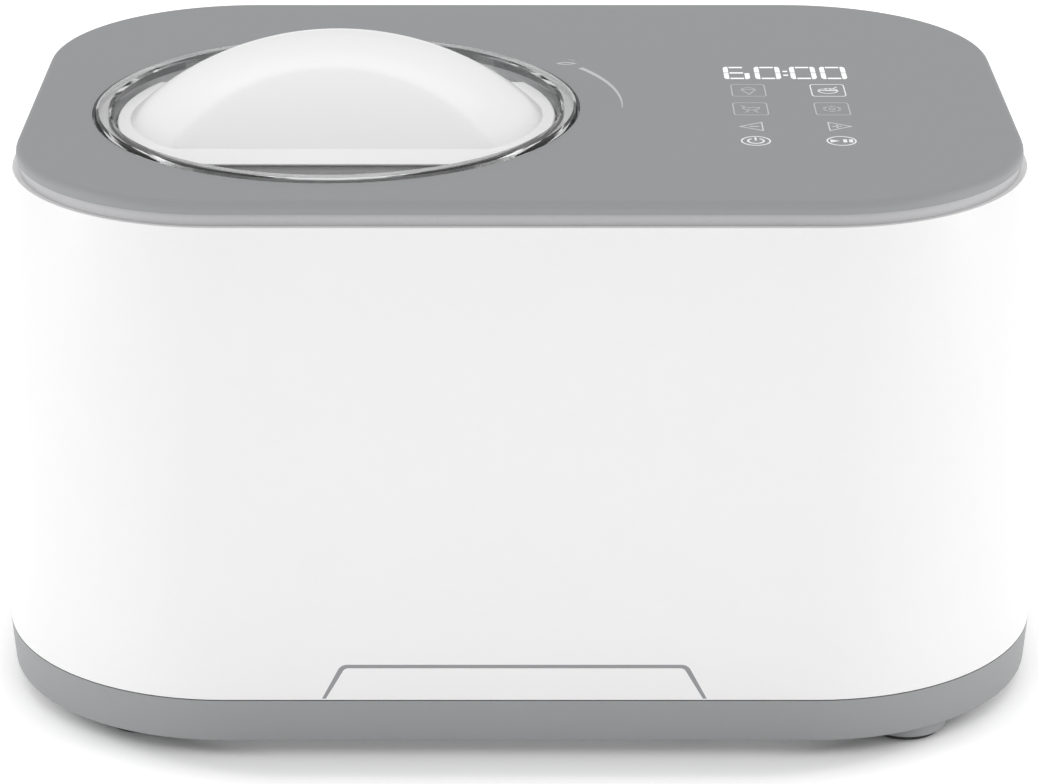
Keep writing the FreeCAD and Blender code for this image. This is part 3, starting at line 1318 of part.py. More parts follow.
trim_cylinder.setExpression("Placement.Base.z", bound(HUMP_LOW))
hump_trimmed = doc.addObject("Part::Common", "hump_trimmed")
hump_trimmed.Base = hump
hump_trimmed.Tool = trim_cylinder
lid_handle = doc.addObject("Part::Fuse", "lid_handle")
lid_handle.Label = "lid_handle"
lid_handle.Base = band
lid_handle.Tool = hump_trimmed
pieces.append(lid_handle)

# Check every object, then write one file for each piece
doc.recompute()
failed = [item for item in doc.Objects if {"Invalid", "Error"} & set(item.State)]
faults = [f"{item.Label}: {item.getStatusString()}" for item in failed]
for piece in pieces:
    if piece.Shape.isNull() or not piece.Shape.isValid() or not piece.Shape.Solids:
        faults.append(f"{piece.Label}: bad shape")
if faults:
    raise SystemExit("\n".join(faults))
os.makedirs("parts", exist_ok=True)
for piece in pieces:
    piece.Shape.exportStep(f"parts/{piece.Label}.step")
    print(f"{piece.Label:24s} {len(piece.Shape.Solids):3d} solids {piece.Shape.Volume / 1000:10.1f} cm3")
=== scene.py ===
import math

import bmesh
import bpy
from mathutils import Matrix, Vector


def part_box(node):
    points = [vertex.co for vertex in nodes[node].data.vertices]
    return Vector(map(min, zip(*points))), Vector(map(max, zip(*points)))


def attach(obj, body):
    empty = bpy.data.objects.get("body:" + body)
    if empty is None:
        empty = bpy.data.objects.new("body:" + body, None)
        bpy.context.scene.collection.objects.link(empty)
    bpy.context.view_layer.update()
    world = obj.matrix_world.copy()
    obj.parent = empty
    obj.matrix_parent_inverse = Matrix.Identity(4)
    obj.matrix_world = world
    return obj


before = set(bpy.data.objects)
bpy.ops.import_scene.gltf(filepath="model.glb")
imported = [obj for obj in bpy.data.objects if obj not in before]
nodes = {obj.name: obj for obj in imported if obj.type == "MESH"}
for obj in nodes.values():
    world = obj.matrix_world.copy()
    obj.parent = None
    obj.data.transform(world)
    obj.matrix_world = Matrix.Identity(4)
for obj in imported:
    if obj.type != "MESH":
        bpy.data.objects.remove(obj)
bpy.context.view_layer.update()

scene = bpy.context.scene


# Studio: a floor of white painted board in an even white room, with a tall soft box at each side, a bank of
# light over the camera and a broad one overhead. The long lens looks down a little. The floor glows, and
# round the object's footprint it carries a painted shadow: there it is darker and glows less.
class Paint:
    """A socket in a finish's node tree; sums written on it become Math nodes."""

    def __init__(self, tree, socket=None):
        self.tree = tree
        self.socket = socket

    def node(self, kind, settings=(), inputs=(), out=0):
        """A node of a kind: its settings are set first, then its sockets get their values or links."""
        made = self.tree.nodes.new("ShaderNode" + kind)
        for name, value in dict(settings).items():
            if name == "stops":
                stops = made.color_ramp.elements
                stops[0].position, stops[1].position = value[0][0], value[-1][0]
                for place, _ in value[1:-1]:
                    stops.new(place)
                for stop, (_, level) in zip(stops, value):
                    stop.color = (level, level, level, 1)
            else:
                setattr(made, name, value)
        for name, value in dict(inputs).items():
            if isinstance(value, Paint):
                self.tree.links.new(value.socket, made.inputs[name])
            else:
                made.inputs[name].default_value = value
        return Paint(self.tree, made.outputs[out] if made.outputs else None)

    def math(self, operation, *terms):
        """A Math node on values and sockets."""
        return self.node("Math", {"operation": operation}, dict(enumerate(terms)))

    def __add__(self, other):
        return self.math("ADD", self, other)

    def __sub__(self, other):
        return self.math("SUBTRACT", self, other)

    def __rsub__(self, other):
        return self.math("SUBTRACT", other, self)

    def __mul__(self, other):
        return self.math("MULTIPLY", self, other)

    __radd__ = __add__
    __rmul__ = __mul__


def new_finish(name):
    """An empty material, and the start of its node tree."""
    material = bpy.data.materials.new(name)
    material.use_nodes = True
    material.node_tree.nodes.clear()
    return material, Paint(material.node_tree)


def close_finish(paint, **inputs):
    """Ends a finish in one Principled shader; a socket's name is written with _ for its spaces."""
    named = {socket.replace("_", " "): value for socket, value in inputs.items()}
    shader = paint.node("BsdfPrincipled", inputs=named)
    paint.node("OutputMaterial", inputs={"Surface": shader})


def speckle(paint, size, detail=3.0, stretch=(1.0, 1.0, 1.0)):
    """Noise from 0 to 1 with grains of about that size in metres, fixed to the piece."""
    place = paint.node("TexCoord", out=3)
    if stretch != (1.0, 1.0, 1.0):
        place = paint.node("Mapping", inputs={"Vector": place, "Scale": stretch})
    return paint.node("TexNoise", inputs={"Vector": place, "Scale": 1 / size, "Detail": detail})


def between(paint, low, high, share):
    """A colour that goes from low to high as a share goes from 0 to 1."""
    return paint.node("Mix", {"data_type": "RGBA"}, {0: share, 6: (*low, 1), 7: (*high, 1)}, out=2)


def add_piece(name, builder, finish):
    """A new object from a bmesh, in the shared frame."""
    data = bpy.data.meshes.new(name)
    builder.to_mesh(data)
    builder.free()
    data.materials.append(finish)
    made = bpy.data.objects.new(name, data)
    scene.collection.objects.link(made)
    return made


# Painted shadow on the floor: the board is darker and glows less by its distance beyond a core rectangle
# under the object. The shade is deepest in a band round the footprint, a little lighter just under its edge,
# and gone further out.
FLOOR_HALF, FLOOR_CELLS, FLOOR_PAINTED_LIGHT = 4.0, 8, 0.34
BOARD_PAINTED_SHADE, BOARD_OPEN, BOARD_CLOUD = (0.90, 0.90, 0.90), (0.98, 0.98, 0.98), 0.4
STAND_CORE = (0.085, 0.048, 0.0)
SHADE_NEAR, SHADE_FAR = 0.07, 0.15
# painted shadow: share of the way from near to far, and how clear of painted shadow the floor is there
SHADE_STOPS = [(0.12, 0.4), (0.22, 0.25), (0.29, 0.02), (0.42, 0.0),
               (0.47, 0.07), (0.53, 0.34), (0.65, 0.66), (1.0, 1.0)]
floor_finish, paint = new_finish("board_with_painted_shadow")
folded = paint.node("VectorMath", {"operation": "ABSOLUTE"}, {0: paint.node("TexCoord", out=3)})
beyond = paint.node("VectorMath", {"operation": "SUBTRACT"}, {0: folded, 1: STAND_CORE})
outside = paint.node("VectorMath", {"operation": "MAXIMUM"}, {0: beyond, 1: (0, 0, 0)})
spread = paint.node("VectorMath", {"operation": "LENGTH"}, {0: outside}, out=1)
reach = paint.node("MapRange", inputs={"Value": spread, "From Min": SHADE_NEAR, "From Max": SHADE_FAR})
outside_painted_shadow = paint.node("ValToRGB", {"stops": SHADE_STOPS}, {"Fac": reach})
painted_shade_and_cloud = outside_painted_shadow * 0.95 + speckle(paint, BOARD_CLOUD) * 0.05
close_finish(paint, Base_Color=between(paint, BOARD_PAINTED_SHADE, BOARD_OPEN, painted_shade_and_cloud), Roughness=0.9,
             Specular_IOR_Level=0.1, Emission_Color=between(paint, (0, 0, 0), (1, 1, 1), outside_painted_shadow),
             Emission_Strength=FLOOR_PAINTED_LIGHT)
board = bmesh.new()
bmesh.ops.create_grid(board, x_segments=FLOOR_CELLS, y_segments=FLOOR_CELLS, size=FLOOR_HALF)
add_piece("studio_floor", board, floor_finish)

CAMERA_PLACE, CAMERA_PITCH = (-0.0003, -1.3946, 0.6568), math.radians(21.833)
SENSOR_WIDTH, FOCAL_LENGTH = 36.0, 124.18
camera_data = bpy.data.cameras.new("photo_camera")
camera_data.sensor_width = SENSOR_WIDTH
camera_data.lens = FOCAL_LENGTH
camera = bpy.data.objects.new("photo_camera", camera_data)
camera.location = CAMERA_PLACE
camera.rotation_euler = (math.pi / 2 - CAMERA_PITCH, 0, 0)
scene.collection.objects.link(camera)
scene.camera = camera
scene.view_settings.view_transform = "Standard"

ROOM_STRENGTH = 0.71
room = bpy.data.worlds.new("white_room")
room.use_nodes = True
room_light = room.node_tree.nodes["Background"]
room_light.inputs["Color"].default_value = (1, 1, 1, 1)
room_light.inputs["Strength"].default_value = ROOM_STRENGTH
scene.world = room

# name: place, aim, width, height, power
SOFT_BOXES = {
    "left_strip": ((-1.7, -0.35, 0.6), (-0.15, 0.0, 0.1), 0.6, 1.4, 6.5),
    "right_strip": ((1.7, -0.35, 0.6), (0.15, 0.0, 0.1), 0.6, 1.4, 6.5),
    "front_bank": ((0.0, -1.4, 1.75), (0.0, 0.0, 0.15), 2.0, 0.8, 5.0),
    "overhead": ((0.0, 0.6, 1.9), (0.0, 0.0, 0.0), 2.4, 2.0, 6.5),
}
for name, (place, aim, width, height, power) in SOFT_BOXES.items():
    lamp = bpy.data.lights.new(name, "AREA")
    lamp.shape = "RECTANGLE"
    lamp.size = width
    lamp.size_y = height
    lamp.energy = power
    box = bpy.data.objects.new(name, lamp)
    box.location = place
    box.rotation_euler = (Vector(aim) - Vector(place)).to_track_quat("-Z", "Y").to_euler()
    scene.collection.objects.link(box)


# Base pan and feet: a grey injection-moulded tray with a fine spark texture, standing on black rubber pads
# that are pushed into its moulded posts.
CLOUD_SIZE, FINE_SHARE, GRAIN_DEPTH, COAT_GLOSS = 0.03, 0.6, 0.25, 0.08


def dress(finish, *names):
    """Gives a finish to CAD nodes."""
    for name in names:
        data = nodes[name].data
        data.materials.clear()
        data.materials.append(finish)


def moulded(name, low, high, roughness, grain=0.0006, bump=0.15, spread=0.06, coat=0.0):
    """Moulded plastic or rubber with a fine grain in its colour, gloss and surface."""
    finish, paint = new_finish(name)
    fine = speckle(paint, grain)
    broad = speckle(paint, CLOUD_SIZE)
    relief = paint.node("Bump", inputs={"Strength": bump, "Distance": grain * GRAIN_DEPTH, "Height": fine})
    mottle = fine * FINE_SHARE + broad * (1 - FINE_SHARE)
    close_finish(paint, Base_Color=between(paint, low, high, mottle),
                 Roughness=broad * spread + fine * spread + (roughness - spread),
                 Coat_Weight=coat, Coat_Roughness=COAT_GLOSS, Normal=relief)
    return finish


base_grey = moulded("base_grey", (0.258, 0.263, 0.268), (0.287, 0.292, 0.297), 0.5)
black_rubber = moulded("black_rubber", (0.035, 0.035, 0.036), (0.055, 0.055, 0.056), 0.75, grain=0.0009)
dress(base_grey, "base_pan")
dress(black_rubber, "rubber_feet")


# Cooling set: a black enamelled compressor on a pressed plate with rubber grommets, a finned condenser behind
# a fan, and soft copper tube brazed between them through a filter drier.
LINE_SHARE, LINE_DEPTH, METAL_CLOUD = 0.7, 0.0001, 0.025
EVEN, UPRIGHT, ROUND_BAR = (1.0, 1.0, 1.0), (1.0, 1.0, 30.0), (40.0, 40.0, 1.0)


def drawn_metal(name, low, high, roughness, stretch=UPRIGHT, grain=0.003, bump=0.08, spread=0.12):
    """Metal with fine lines drawn along it."""
    finish, paint = new_finish(name)
    lines = speckle(paint, grain, 4.0, stretch)
    cloud = speckle(paint, METAL_CLOUD)
    relief = paint.node("Bump", inputs={"Strength": bump, "Distance": LINE_DEPTH, "Height": lines})
    mottle = lines * LINE_SHARE + cloud * (1 - LINE_SHARE)
    close_finish(paint, Base_Color=between(paint, low, high, mottle), Metallic=1.0,
                 Roughness=lines * spread + cloud * spread + (roughness - spread), Normal=relief)
    return finish


black_enamel = moulded("black_enamel", (0.012, 0.012, 0.013), (0.022, 0.022, 0.023), 0.28, grain=0.004,
                       bump=0.1, coat=0.5)
black_plastic = moulded("black_plastic", (0.022, 0.022, 0.023), (0.035, 0.035, 0.036), 0.5)
zinc_steel = drawn_metal("zinc_steel", (0.50, 0.51, 0.52), (0.66, 0.66, 0.66), 0.36, EVEN)
fin_aluminium = drawn_metal("fin_aluminium", (0.70, 0.71, 0.72), (0.82, 0.82, 0.83), 0.34)
soft_copper = drawn_metal("soft_copper", (0.68, 0.30, 0.17), (0.84, 0.43, 0.28), 0.3, EVEN)
dress(black_enamel, "compressor_shell")
dress(zinc_steel, "compressor_plate", "condenser_end_plates")
dress(black_rubber, "compressor_grommets")
dress(fin_aluminium, "condenser_fins")
dress(soft_copper, "condenser_tube", "discharge_tube", "liquid_tube", "capillary_tube", "suction_tube",
      "filter_drier")
dress(black_plastic, "terminal_cover", "fan_shroud", "fan_motor", "fan_rotor")

# Drive: a small motor under a two-stage gearbox with moulded nylon gears. Its ground steel shafts run in
# sintered bronze bushes, and a rubber seal keeps the top one dry.
ground_steel = drawn_metal("ground_steel", (0.55, 0.56, 0.57), (0.70, 0.70, 0.71), 0.22, ROUND_BAR, 0.02)
gear_nylon = moulded("gear_nylon", (0.72, 0.70, 0.62), (0.79, 0.77, 0.69), 0.42)
sintered_bronze = drawn_metal("sintered_bronze", (0.45, 0.28, 0.12), (0.66, 0.45, 0.22), 0.45, EVEN,
                              grain=0.0004, bump=0.3)
dress(ground_steel, "drive_shaft", "motor_shaft", "idler_pin", "gearbox_standoffs", "rotor_core")
dress(zinc_steel, "motor_can")
dress(gear_nylon, "output_gear", "idler_gear", "motor_pinion")
dress(sintered_bronze, "lower_bush", "upper_bush")
dress(black_plastic, "gearbox_base", "gearbox_cover", "motor_end_cap", "motor_magnets")
dress(black_rubber, "shaft_seal")


# Cold well: a spun aluminium cup with the evaporator coil of copper tube wound round it. A jacket of cream
# polyurethane foam is poured round both.
RING_SHARE, RING_BUMP, RING_GLOSS, CLOUD_GLOSS, GLOSS_DROP = 0.6, 0.12, 0.12, 0.06, 0.08


def spun_metal(name, low, high, roughness, centre, grain=0.0012):
    """Metal with fine rings turned about an upright line."""
    finish, paint = new_finish(name)
    place = paint.node("TexCoord", out=3)
    offset = paint.node("VectorMath", {"operation": "SUBTRACT"}, {0: place, 1: centre})
    flat = paint.node("VectorMath", {"operation": "MULTIPLY"}, {0: offset, 1: (1, 1, 0)})
    radius = paint.node("VectorMath", {"operation": "LENGTH"}, {0: flat}, out=1)
    height = paint.node("SeparateXYZ", inputs={0: place}, out=2)
    along = paint.node("CombineXYZ", inputs={0: radius, 1: height})
    rings = paint.node("TexNoise", inputs={"Vector": along, "Scale": 1 / grain, "Detail": 4.0})
    cloud = speckle(paint, CLOUD_SIZE)
    relief = paint.node("Bump", inputs={"Strength": RING_BUMP, "Distance": LINE_DEPTH, "Height": rings})
    mottle = rings * RING_SHARE + cloud * (1 - RING_SHARE)
    close_finish(paint, Base_Color=between(paint, low, high, mottle), Metallic=1.0,
                 Roughness=rings * RING_GLOSS + cloud * CLOUD_GLOSS + (roughness - GLOSS_DROP), Normal=relief)
    return finish


BOWL_AXIS = (-0.0735, -0.0163, 0.0)
FOAM_CELL, FOAM_DEPTH = 0.0016, 0.0004
foam_finish, paint = new_finish("cream_foam")
cells = paint.node("TexVoronoi", inputs={"Vector": paint.node("TexCoord", out=3), "Scale": 1 / FOAM_CELL})
foam_relief = paint.node("Bump", inputs={"Strength": 0.6, "Distance": FOAM_DEPTH, "Height": cells})
close_finish(paint, Base_Color=between(paint, (0.78, 0.72, 0.56), (0.62, 0.55, 0.38), cells), Roughness=0.85,
             Normal=foam_relief)
dress(spun_metal("spun_aluminium", (0.60, 0.61, 0.62), (0.76, 0.77, 0.78), 0.3, BOWL_AXIS), "evaporator_well")
dress(soft_copper, "evaporator_coil")
dress(foam_finish, "insulation_jacket")

# Boards: green lacquered laminate with copper tracks under the lacquer, on steel standoffs; the key board has
# silicone touch pads and a black digit window.
board_finish, paint = new_finish("board_lacquer")
place = paint.node("TexCoord", out=3)
tracks = paint.node("TexBrick", {"offset": 0.37}, {
    "Vector": place, "Scale": 90.0, "Mortar Size": 0.06, "Mortar Smooth": 0.1, "Color1": (0, 0, 0, 1),
    "Color2": (0, 0, 0, 1), "Mortar": (1, 1, 1, 1)}, out=1)
board_relief = paint.node("Bump", inputs={"Strength": 0.2, "Distance": 0.0001, "Height": tracks})
close_finish(paint, Base_Color=between(paint, (0.03, 0.16, 0.07), (0.07, 0.30, 0.13), tracks),
             Roughness=speckle(paint, 0.004) * 0.1 + 0.25, Coat_Weight=0.4, Normal=board_relief)
milky_silicone = moulded("milky_silicone", (0.62, 0.62, 0.62), (0.70, 0.70, 0.70), 0.55)
dress(board_finish, "power_board", "display_board")
dress(black_plastic, "power_components", "digit_display")
dress(zinc_steel, "display_standoffs")
dress(milky_silicone, "touch_pads")

# Housing: one white drafted moulding with a satin face, its matching rear panel with air slots, a rubber
# gland and a thin plated line let into the front.
housing_white = moulded("housing_white", (0.765, 0.765, 0.765), (0.79, 0.79, 0.79), 0.36, grain=0.0012,
                        bump=0.05, spread=0.03, coat=0.15)
plated_line = drawn_metal("plated_line", (0.22, 0.22, 0.23), (0.29, 0.29, 0.30), 0.35)
dress(housing_white, "housing_shell", "rear_panel")
dress(black_rubber, "cord_gland")
dress(plated_line, "front_line")

# Rear screws: six zinc-plated screws with flat heads and a cross recess, driven through the panel's rim into
# the ledge that it sits on.
HEAD_RADIUS, HEAD_HEIGHT, HEAD_SIDES = 0.0026, 0.00035, 24
CROSS_ARM, CROSS_HALF, CROSS_DEPTH = 0.0014, 0.0004, 0.0003
HEAD_TURNS = [math.tau * step / HEAD_SIDES for step in range(HEAD_SIDES)]
HEAD_RINGS = [(HEAD_RADIUS, 0.0), (HEAD_RADIUS, HEAD_HEIGHT * 0.55), (HEAD_RADIUS * 0.92, HEAD_HEIGHT * 0.85),
              (HEAD_RADIUS * 0.75, HEAD_HEIGHT)]
QUARTER = [(CROSS_ARM, -CROSS_HALF), (CROSS_ARM, CROSS_HALF), (CROSS_HALF, CROSS_HALF)]
CROSS = (QUARTER + [(-y, x) for x, y in QUARTER] + [(-x, -y) for x, y in QUARTER]
         + [(y, -x) for x, y in QUARTER])
RIM_INSET, CLEAR_BEHIND = 0.004, 0.01


def screw_head(sheet, place):
    """One head with its cross recess, standing on a face."""
    rings = [[sheet.verts.new(place @ Vector((radius * math.cos(turn), radius * math.sin(turn), height)))
              for turn in HEAD_TURNS] for radius, height in HEAD_RINGS]
    crosses = [[sheet.verts.new(place @ Vector((x, y, height))) for x, y in CROSS]
               for height in (HEAD_HEIGHT - CROSS_DEPTH, HEAD_HEIGHT)]
    for stack in (rings, crosses):
        for low, high in zip(stack, stack[1:]):
            for step in range(len(low)):
                sheet.faces.new([low[step - 1], low[step], high[step], high[step - 1]])
    sheet.faces.new(crosses[0])
    rims = [sheet.edges.get((loop[step - 1], loop[step])) for loop in (rings[-1], crosses[-1])
            for step in range(len(loop))]
    bmesh.ops.triangle_fill(sheet, use_beauty=True, edges=rims)


panel_low, panel_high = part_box("rear_panel")
screws = bmesh.new()
for column in (panel_low[0] + RIM_INSET, panel_high[0] - RIM_INSET):
    for row in (panel_low[2] + RIM_INSET, (panel_low[2] + panel_high[2]) / 2, panel_high[2] - RIM_INSET):
        behind = (column, panel_high[1] + CLEAR_BEHIND, row)
        _, seat, facing, _ = nodes["rear_panel"].ray_cast(behind, (0, -1, 0))
        standing = facing.to_track_quat("Z", "Y").to_matrix().to_4x4()
        standing.translation = seat
        screw_head(screws, standing)
bmesh.ops.recalc_face_normals(screws, faces=screws.faces)
rear_screws = add_piece("rear_screws", screws, zinc_steel)
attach(rear_screws, "base")

# Top plate: a matte grey moulded plate set into a satin silver ring. A pale moulded collar is fixed under it
# and carries the lid.
satin_silver = moulded("satin_silver", (0.41, 0.41, 0.42), (0.48, 0.48, 0.49), 0.4, grain=0.0008)
plate_grey = moulded("plate_grey", (0.258, 0.263, 0.27), (0.279, 0.284, 0.291), 0.5, bump=0.1)
dress(satin_silver, "trim_ring")
dress(plate_grey, "top_plate")
dress(moulded("collar_grey", (0.74, 0.74, 0.75), (0.80, 0.80, 0.81), 0.45), "bowl_collar")


# Panel print: thin white ink on the plate, lit from behind. The clock and the chosen programme shine, the
# other keys glow faintly, and a lock sign with a tapering arc shows which way the lid turns.
PLATE_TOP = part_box("top_plate")[1][2]
PRINT_HEIGHT = 0.0001
MM = 0.001
INK_GRAIN = 0.0003


def print_finish(name, low, high, glow):
    """Printed ink with a faint screen grain, lit from behind."""
    finish, paint = new_finish(name)
    ink = between(paint, low, high, speckle(paint, INK_GRAIN))
    close_finish(paint, Base_Color=ink, Roughness=0.5, Emission_Color=ink, Emission_Strength=glow)
    return finish


def outline(sheet, points):
    """A flat face round (x, y) points in millimetres."""
    sheet.faces.new([sheet.verts.new((x * MM, y * MM, PLATE_TOP)) for x, y in points])


SHARPEST_MITRE = 0.4


def stroke(sheet, line, width, closed=False):
    """A flat strip of a width along (x, y) points in millimetres."""
    points = [Vector(point) for point in line]
    last = len(points) - 1
    pairs = []
    for index, point in enumerate(points):
        before = points[index - 1] if closed or index else 2 * point - points[1]
        after = points[(index + 1) % len(points)] if closed or index < last else 2 * point - before
        into, away = (point - before).normalized(), (after - point).normalized()
        side = Vector((-into.y - away.y, into.x + away.x)).normalized()
        side *= width / 2 / max(SHARPEST_MITRE, side.dot(Vector((-into.y, into.x))))
        pairs.append((point - side, point + side))
    for index in range(len(pairs) if closed else last):
        (low, high), (next_low, next_high) = pairs[index], pairs[(index + 1) % len(pairs)]
        outline(sheet, [low, next_low, next_high, high])


def arc(x, y, radius, start, stop, steps=24):
    """Points on a circle between two angles in degrees."""
    turns = [math.radians(start + (stop - start) * step / steps) for step in range(steps + 1)]
    return [(x + radius * math.cos(turn), y + radius * math.sin(turn)) for turn in turns]


HAIRLINE = 0.5


def key_frame(sheet, x, y):
    """The rounded outline of a programme key, by its middle."""
    half_width, half_depth, corner = 6.8, 8.2, 1.6
    corners = [(1, 1, 0), (-1, 1, 90), (-1, -1, 180), (1, -1, 270)]
    line = []
    for across, along, turn in corners:
        middle = (x + across * (half_width - corner), y + along * (half_depth - corner))
        line += arc(*middle, corner, turn, turn + 90, 6)
    stroke(sheet, line, HAIRLINE, closed=True)


def finish_print(name, sheet, finish):
    """Lays a sheet of print on the plate."""
    bmesh.ops.recalc_face_normals(sheet, faces=sheet.faces)
    for face in sheet.faces:
        if face.normal.z < 0:
            face.normal_flip()
    printed = add_piece(name, sheet, finish)
    film = printed.modifiers.new("ink_film", "SOLIDIFY")
    film.thickness = PRINT_HEIGHT
    film.offset = 1.0
    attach(printed, "base")


# Clock: four digits of seven bars and a colon, reading sixty minutes. The upright bars are broad, with their
# outer corners cut off, and the level bars between them are slim.
DIGIT_BARS = {
    "6": "top middle foot high_left low_left low_right",
    "0": "top foot high_left low_left high_right low_right",
}
DIGIT_LEFTS = [84.3, 97.1, 111.8, 124.3]
DIGIT_WIDTH, DIGIT_LOW, DIGIT_HIGH = 10.6, 20.9, 38.0
UPRIGHT_BAR, LEVEL_BAR, BAR_GAP, BAR_CUT = 2.0, 1.6, 0.5, 0.8
COLON_LEFT, COLON_RIGHT, COLON_LEVELS, COLON_HALF = 108.8, 110.8, (26.2, 31.6), 0.8
lit_white = print_finish("lit_white", (0.90, 0.91, 0.92), (0.97, 0.97, 0.97), 0.2)
clock = bmesh.new()
for left, digit in zip(DIGIT_LEFTS, "6000"):
    right, middle = left + DIGIT_WIDTH, (DIGIT_LOW + DIGIT_HIGH) / 2
    bars = DIGIT_BARS[digit].split()
    for name, low in (("foot", DIGIT_LOW), ("middle", middle - LEVEL_BAR / 2),
                      ("top", DIGIT_HIGH - LEVEL_BAR)):
        if name in bars:
            start, stop = left + UPRIGHT_BAR + BAR_GAP, right - UPRIGHT_BAR - BAR_GAP
            outline(clock, [(start, low), (stop, low), (stop, low + LEVEL_BAR), (start, low + LEVEL_BAR)])
    for name, side, end in (("high_left", left, DIGIT_HIGH), ("low_left", left, DIGIT_LOW),
                            ("high_right", right, DIGIT_HIGH), ("low_right", right, DIGIT_LOW)):
        if name in bars:
            inward = UPRIGHT_BAR if side == left else -UPRIGHT_BAR
            cut = math.copysign(BAR_CUT, inward)
            up = 1 if end > middle else -1
            near = middle + up * BAR_GAP
            outline(clock, [(side, near), (side + inward, near), (side + inward, end), (side + cut, end),
                            (side, end - up * BAR_CUT * 2)])
for level in COLON_LEVELS:
    low, high = level - COLON_HALF, level + COLON_HALF
    outline(clock, [(COLON_LEFT, low), (COLON_RIGHT, low), (COLON_RIGHT, high), (COLON_LEFT, high)])
finish_print("panel_clock", clock, lit_white)

# Chosen programme and the two round keys: a bowl with three scoops and a spoon in a frame, then power, and
# start and pause, each in a ring. They are printed in the same ink, a little less bright than the clock.
SCOOP_KEY, POWER_KEY, START_KEY = (125.5, 4.9), (92.1, -62.2), (125.5, -62.2)
RING_LINE, POWER_LINE = 0.6, 0.75
BOWL_RIM, BOWL_RADIUS = (125.5, 4.6), 4.0
key_white = print_finish("key_white", (0.80, 0.81, 0.82), (0.88, 0.88, 0.88), 0.08)
lit_keys = bmesh.new()
key_frame(lit_keys, *SCOOP_KEY)
stroke(lit_keys, arc(*BOWL_RIM, BOWL_RADIUS, 180, 360) + [(129.5, 4.6)], HAIRLINE, closed=True)
for x, y, radius in ((123.5, 5.0, 1.7), (125.6, 5.8, 1.9), (127.7, 5.0, 1.6)):
    stroke(lit_keys, arc(x, y, radius, 10, 170, 12), HAIRLINE)
stroke(lit_keys, [(127.6, 7.0), (129.4, 9.6)], HAIRLINE)
for key in (POWER_KEY, START_KEY):
    stroke(lit_keys, arc(*key, 5.6, 0, 345, 46), RING_LINE, closed=True)
stroke(lit_keys, arc(*POWER_KEY, 3.1, 120, 420, 30), POWER_LINE)
stroke(lit_keys, [(92.1, -61.6), (92.1, -57.9)], POWER_LINE)
outline(lit_keys, [(121.2, -64.0), (124.7, -62.2), (121.2, -60.4)])
for x in (126.9, 129.2):
    outline(lit_keys, [(x - 0.75, -64.0), (x + 0.75, -64.0), (x + 0.75, -60.4), (x - 0.75, -60.4)])
finish_print("panel_lit_keys", lit_keys, key_white)

# Less and more keys: two outlined arrowheads that point away from each other, with a minus and a plus inside.
# Their ink is fainter than that of the lit keys.
ARROW_LINE, SIGN_LINE = 0.55, 0.7
step_white = print_finish("step_white", (0.60, 0.605, 0.61), (0.70, 0.705, 0.71), 0.04)
step_keys = bmesh.new()
for x, way in ((91.5, -1), (126.4, 1)):
    tail = x - 4.3 * way
    stroke(step_keys, [(x + 4.5 * way, -43.6), (tail, -38.2), (tail, -49.0)], ARROW_LINE, closed=True)
    stroke(step_keys, [(x - 3.0 * way, -43.6), (x + 0.8 * way, -43.6)], SIGN_LINE)
stroke(step_keys, [(125.3, -45.6), (125.3, -41.6)], SIGN_LINE)
finish_print("panel_step_keys", step_keys, step_white)

# Waiting keys: a cone, a stirred cup and a snowflake, each in a frame. They are printed in the faintest ink,
# with no light behind it.
CONE_KEY, CUP_KEY, FLAKE_KEY, PICTURE_LINE = (93.1, 4.9), (92.5, -20.4), (125.2, -20.4), 0.55
FLAKE_ARM, KNOT_PLACE, BARB = 4.0, 2.2, 1.3
faint_white = print_finish("faint_white", (0.50, 0.505, 0.51), (0.60, 0.605, 0.61), 0.0)
faint_keys = bmesh.new()
for key in (CONE_KEY, CUP_KEY, FLAKE_KEY):
    key_frame(faint_keys, *key)
stroke(faint_keys, [(90.1, 5.9), (93.1, -0.6), (96.1, 5.9)], PICTURE_LINE, closed=True)
stroke(faint_keys, arc(93.1, 5.9, 2.6, 0, 180), PICTURE_LINE)
stroke(faint_keys, arc(92.7, -18.6, 3.4, 180, 360, 16), PICTURE_LINE, closed=True)
stroke(faint_keys, [(88.8, -15.6), (91.9, -19.8)], PICTURE_LINE)
for way in (-1, 1):
    stroke(faint_keys, [(92.7 + 0.9 * way, -22.2), (92.7 + 2.6 * way, -25.2)], PICTURE_LINE)
for turn in range(0, 180, 60):
    tip = Vector((math.cos(math.radians(turn + 90)), math.sin(math.radians(turn + 90))))
    middle = Vector(FLAKE_KEY)
    stroke(faint_keys, [middle - tip * FLAKE_ARM, middle + tip * FLAKE_ARM], PICTURE_LINE)
    for way in (-1, 1):
        barb = Vector((-tip.y, tip.x)) * BARB
        knot = middle + tip * KNOT_PLACE * way
        stroke(faint_keys, [knot + barb + tip * BARB * way, knot, knot - barb + tip * BARB * way], HAIRLINE)
finish_print("panel_waiting_keys", faint_keys, faint_white)

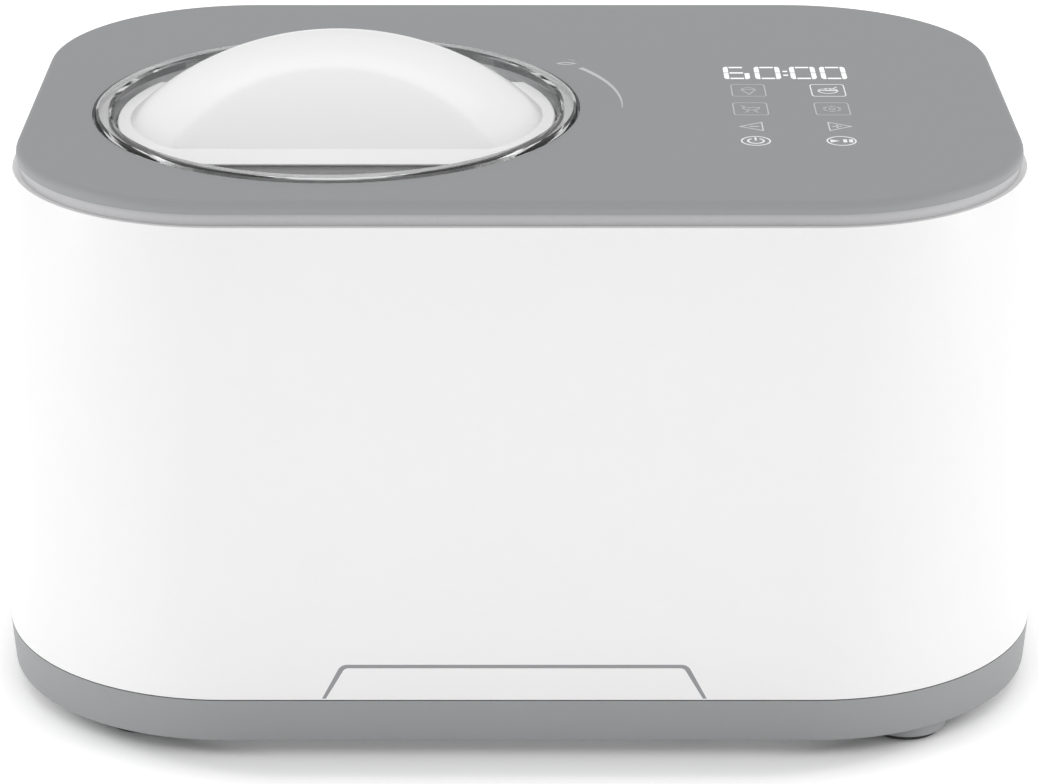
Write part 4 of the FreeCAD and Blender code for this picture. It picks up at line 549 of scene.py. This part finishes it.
# Lock sign and turning arc: a ring with a bow over it, and a tapering arc beside the lid that shows which way
# to turn it. They are in the same faint ink.
ARC_MIDDLE = (-49.0, -14.6)
ARC_RADIUS, ARC_START, ARC_STOP, ARC_WIDTH, ARC_TAPER, ARC_STEPS = 90.2, 34.6, -2.8, 2.4, 0.85, 24
LOCK_X, LOCK_Y, LOCK_HALF, LOCK_BOW = 19.4, 43.1, 3.6, 42.0
LOCK_LINE, BOW_LINE = 1.1, 0.4
lock_print = bmesh.new()
sweep = []
for step in range(ARC_STEPS + 1):
    turn = math.radians(ARC_START + (ARC_STOP - ARC_START) * step / ARC_STEPS)
    half = ARC_WIDTH / 2 * (1 - ARC_TAPER * step / ARC_STEPS)
    sweep.append([(ARC_MIDDLE[0] + (ARC_RADIUS + half * way) * math.cos(turn),
                   ARC_MIDDLE[1] + (ARC_RADIUS + half * way) * math.sin(turn)) for way in (-1, 1)])
for (low, high), (next_low, next_high) in zip(sweep, sweep[1:]):
    outline(lock_print, [low, next_low, next_high, high])
lens_radius = LOCK_HALF / math.sin(math.radians(LOCK_BOW))
lens_drop = lens_radius * math.cos(math.radians(LOCK_BOW))
lens = (arc(LOCK_X, LOCK_Y - lens_drop, lens_radius, 90 - LOCK_BOW, 90 + LOCK_BOW, 12)
        + arc(LOCK_X, LOCK_Y + lens_drop, lens_radius, 270 - LOCK_BOW, 270 + LOCK_BOW, 12)[1:-1])
stroke(lock_print, lens, LOCK_LINE, closed=True)
stroke(lock_print, arc(LOCK_X, LOCK_Y + 0.9, 4.6, 38, 80, 8), BOW_LINE)
finish_print("lid_turn_print", lock_print, faint_white)

# Bowl and paddle: a brushed steel bowl with a central chimney, which lifts out of the cold well, and a white
# nylon paddle that drops over the drive shaft.
bowl_steel = spun_metal("brushed_bowl", (0.58, 0.58, 0.59), (0.74, 0.74, 0.75), 0.26, BOWL_AXIS, 0.0008)
dress(bowl_steel, "mixing_bowl")
dress(moulded("paddle_white", (0.80, 0.80, 0.79), (0.85, 0.85, 0.84), 0.36, spread=0.04), "paddle")

# Lid: a clear polished tray with a twist-lock rim, moulded in one piece. A white silicone ring sits under it,
# and a white arched handle is fixed on top.
WIPE_SIZE = 0.02
lid_finish, paint = new_finish("clear_lid")
wiped = speckle(paint, WIPE_SIZE) * 0.03 + 0.005
close_finish(paint, Base_Color=(0.98, 0.985, 0.985, 1), Roughness=wiped, Transmission_Weight=1.0, IOR=1.46)
handle_white = moulded("handle_white", (0.875, 0.875, 0.875), (0.905, 0.905, 0.905), 0.3, bump=0.03,
                       spread=0.03, coat=0.3)
dress(lid_finish, "lid_clear")
dress(handle_white, "lid_handle")
dress(moulded("white_silicone", (0.90, 0.90, 0.90), (0.94, 0.94, 0.94), 0.5), "lid_seal")
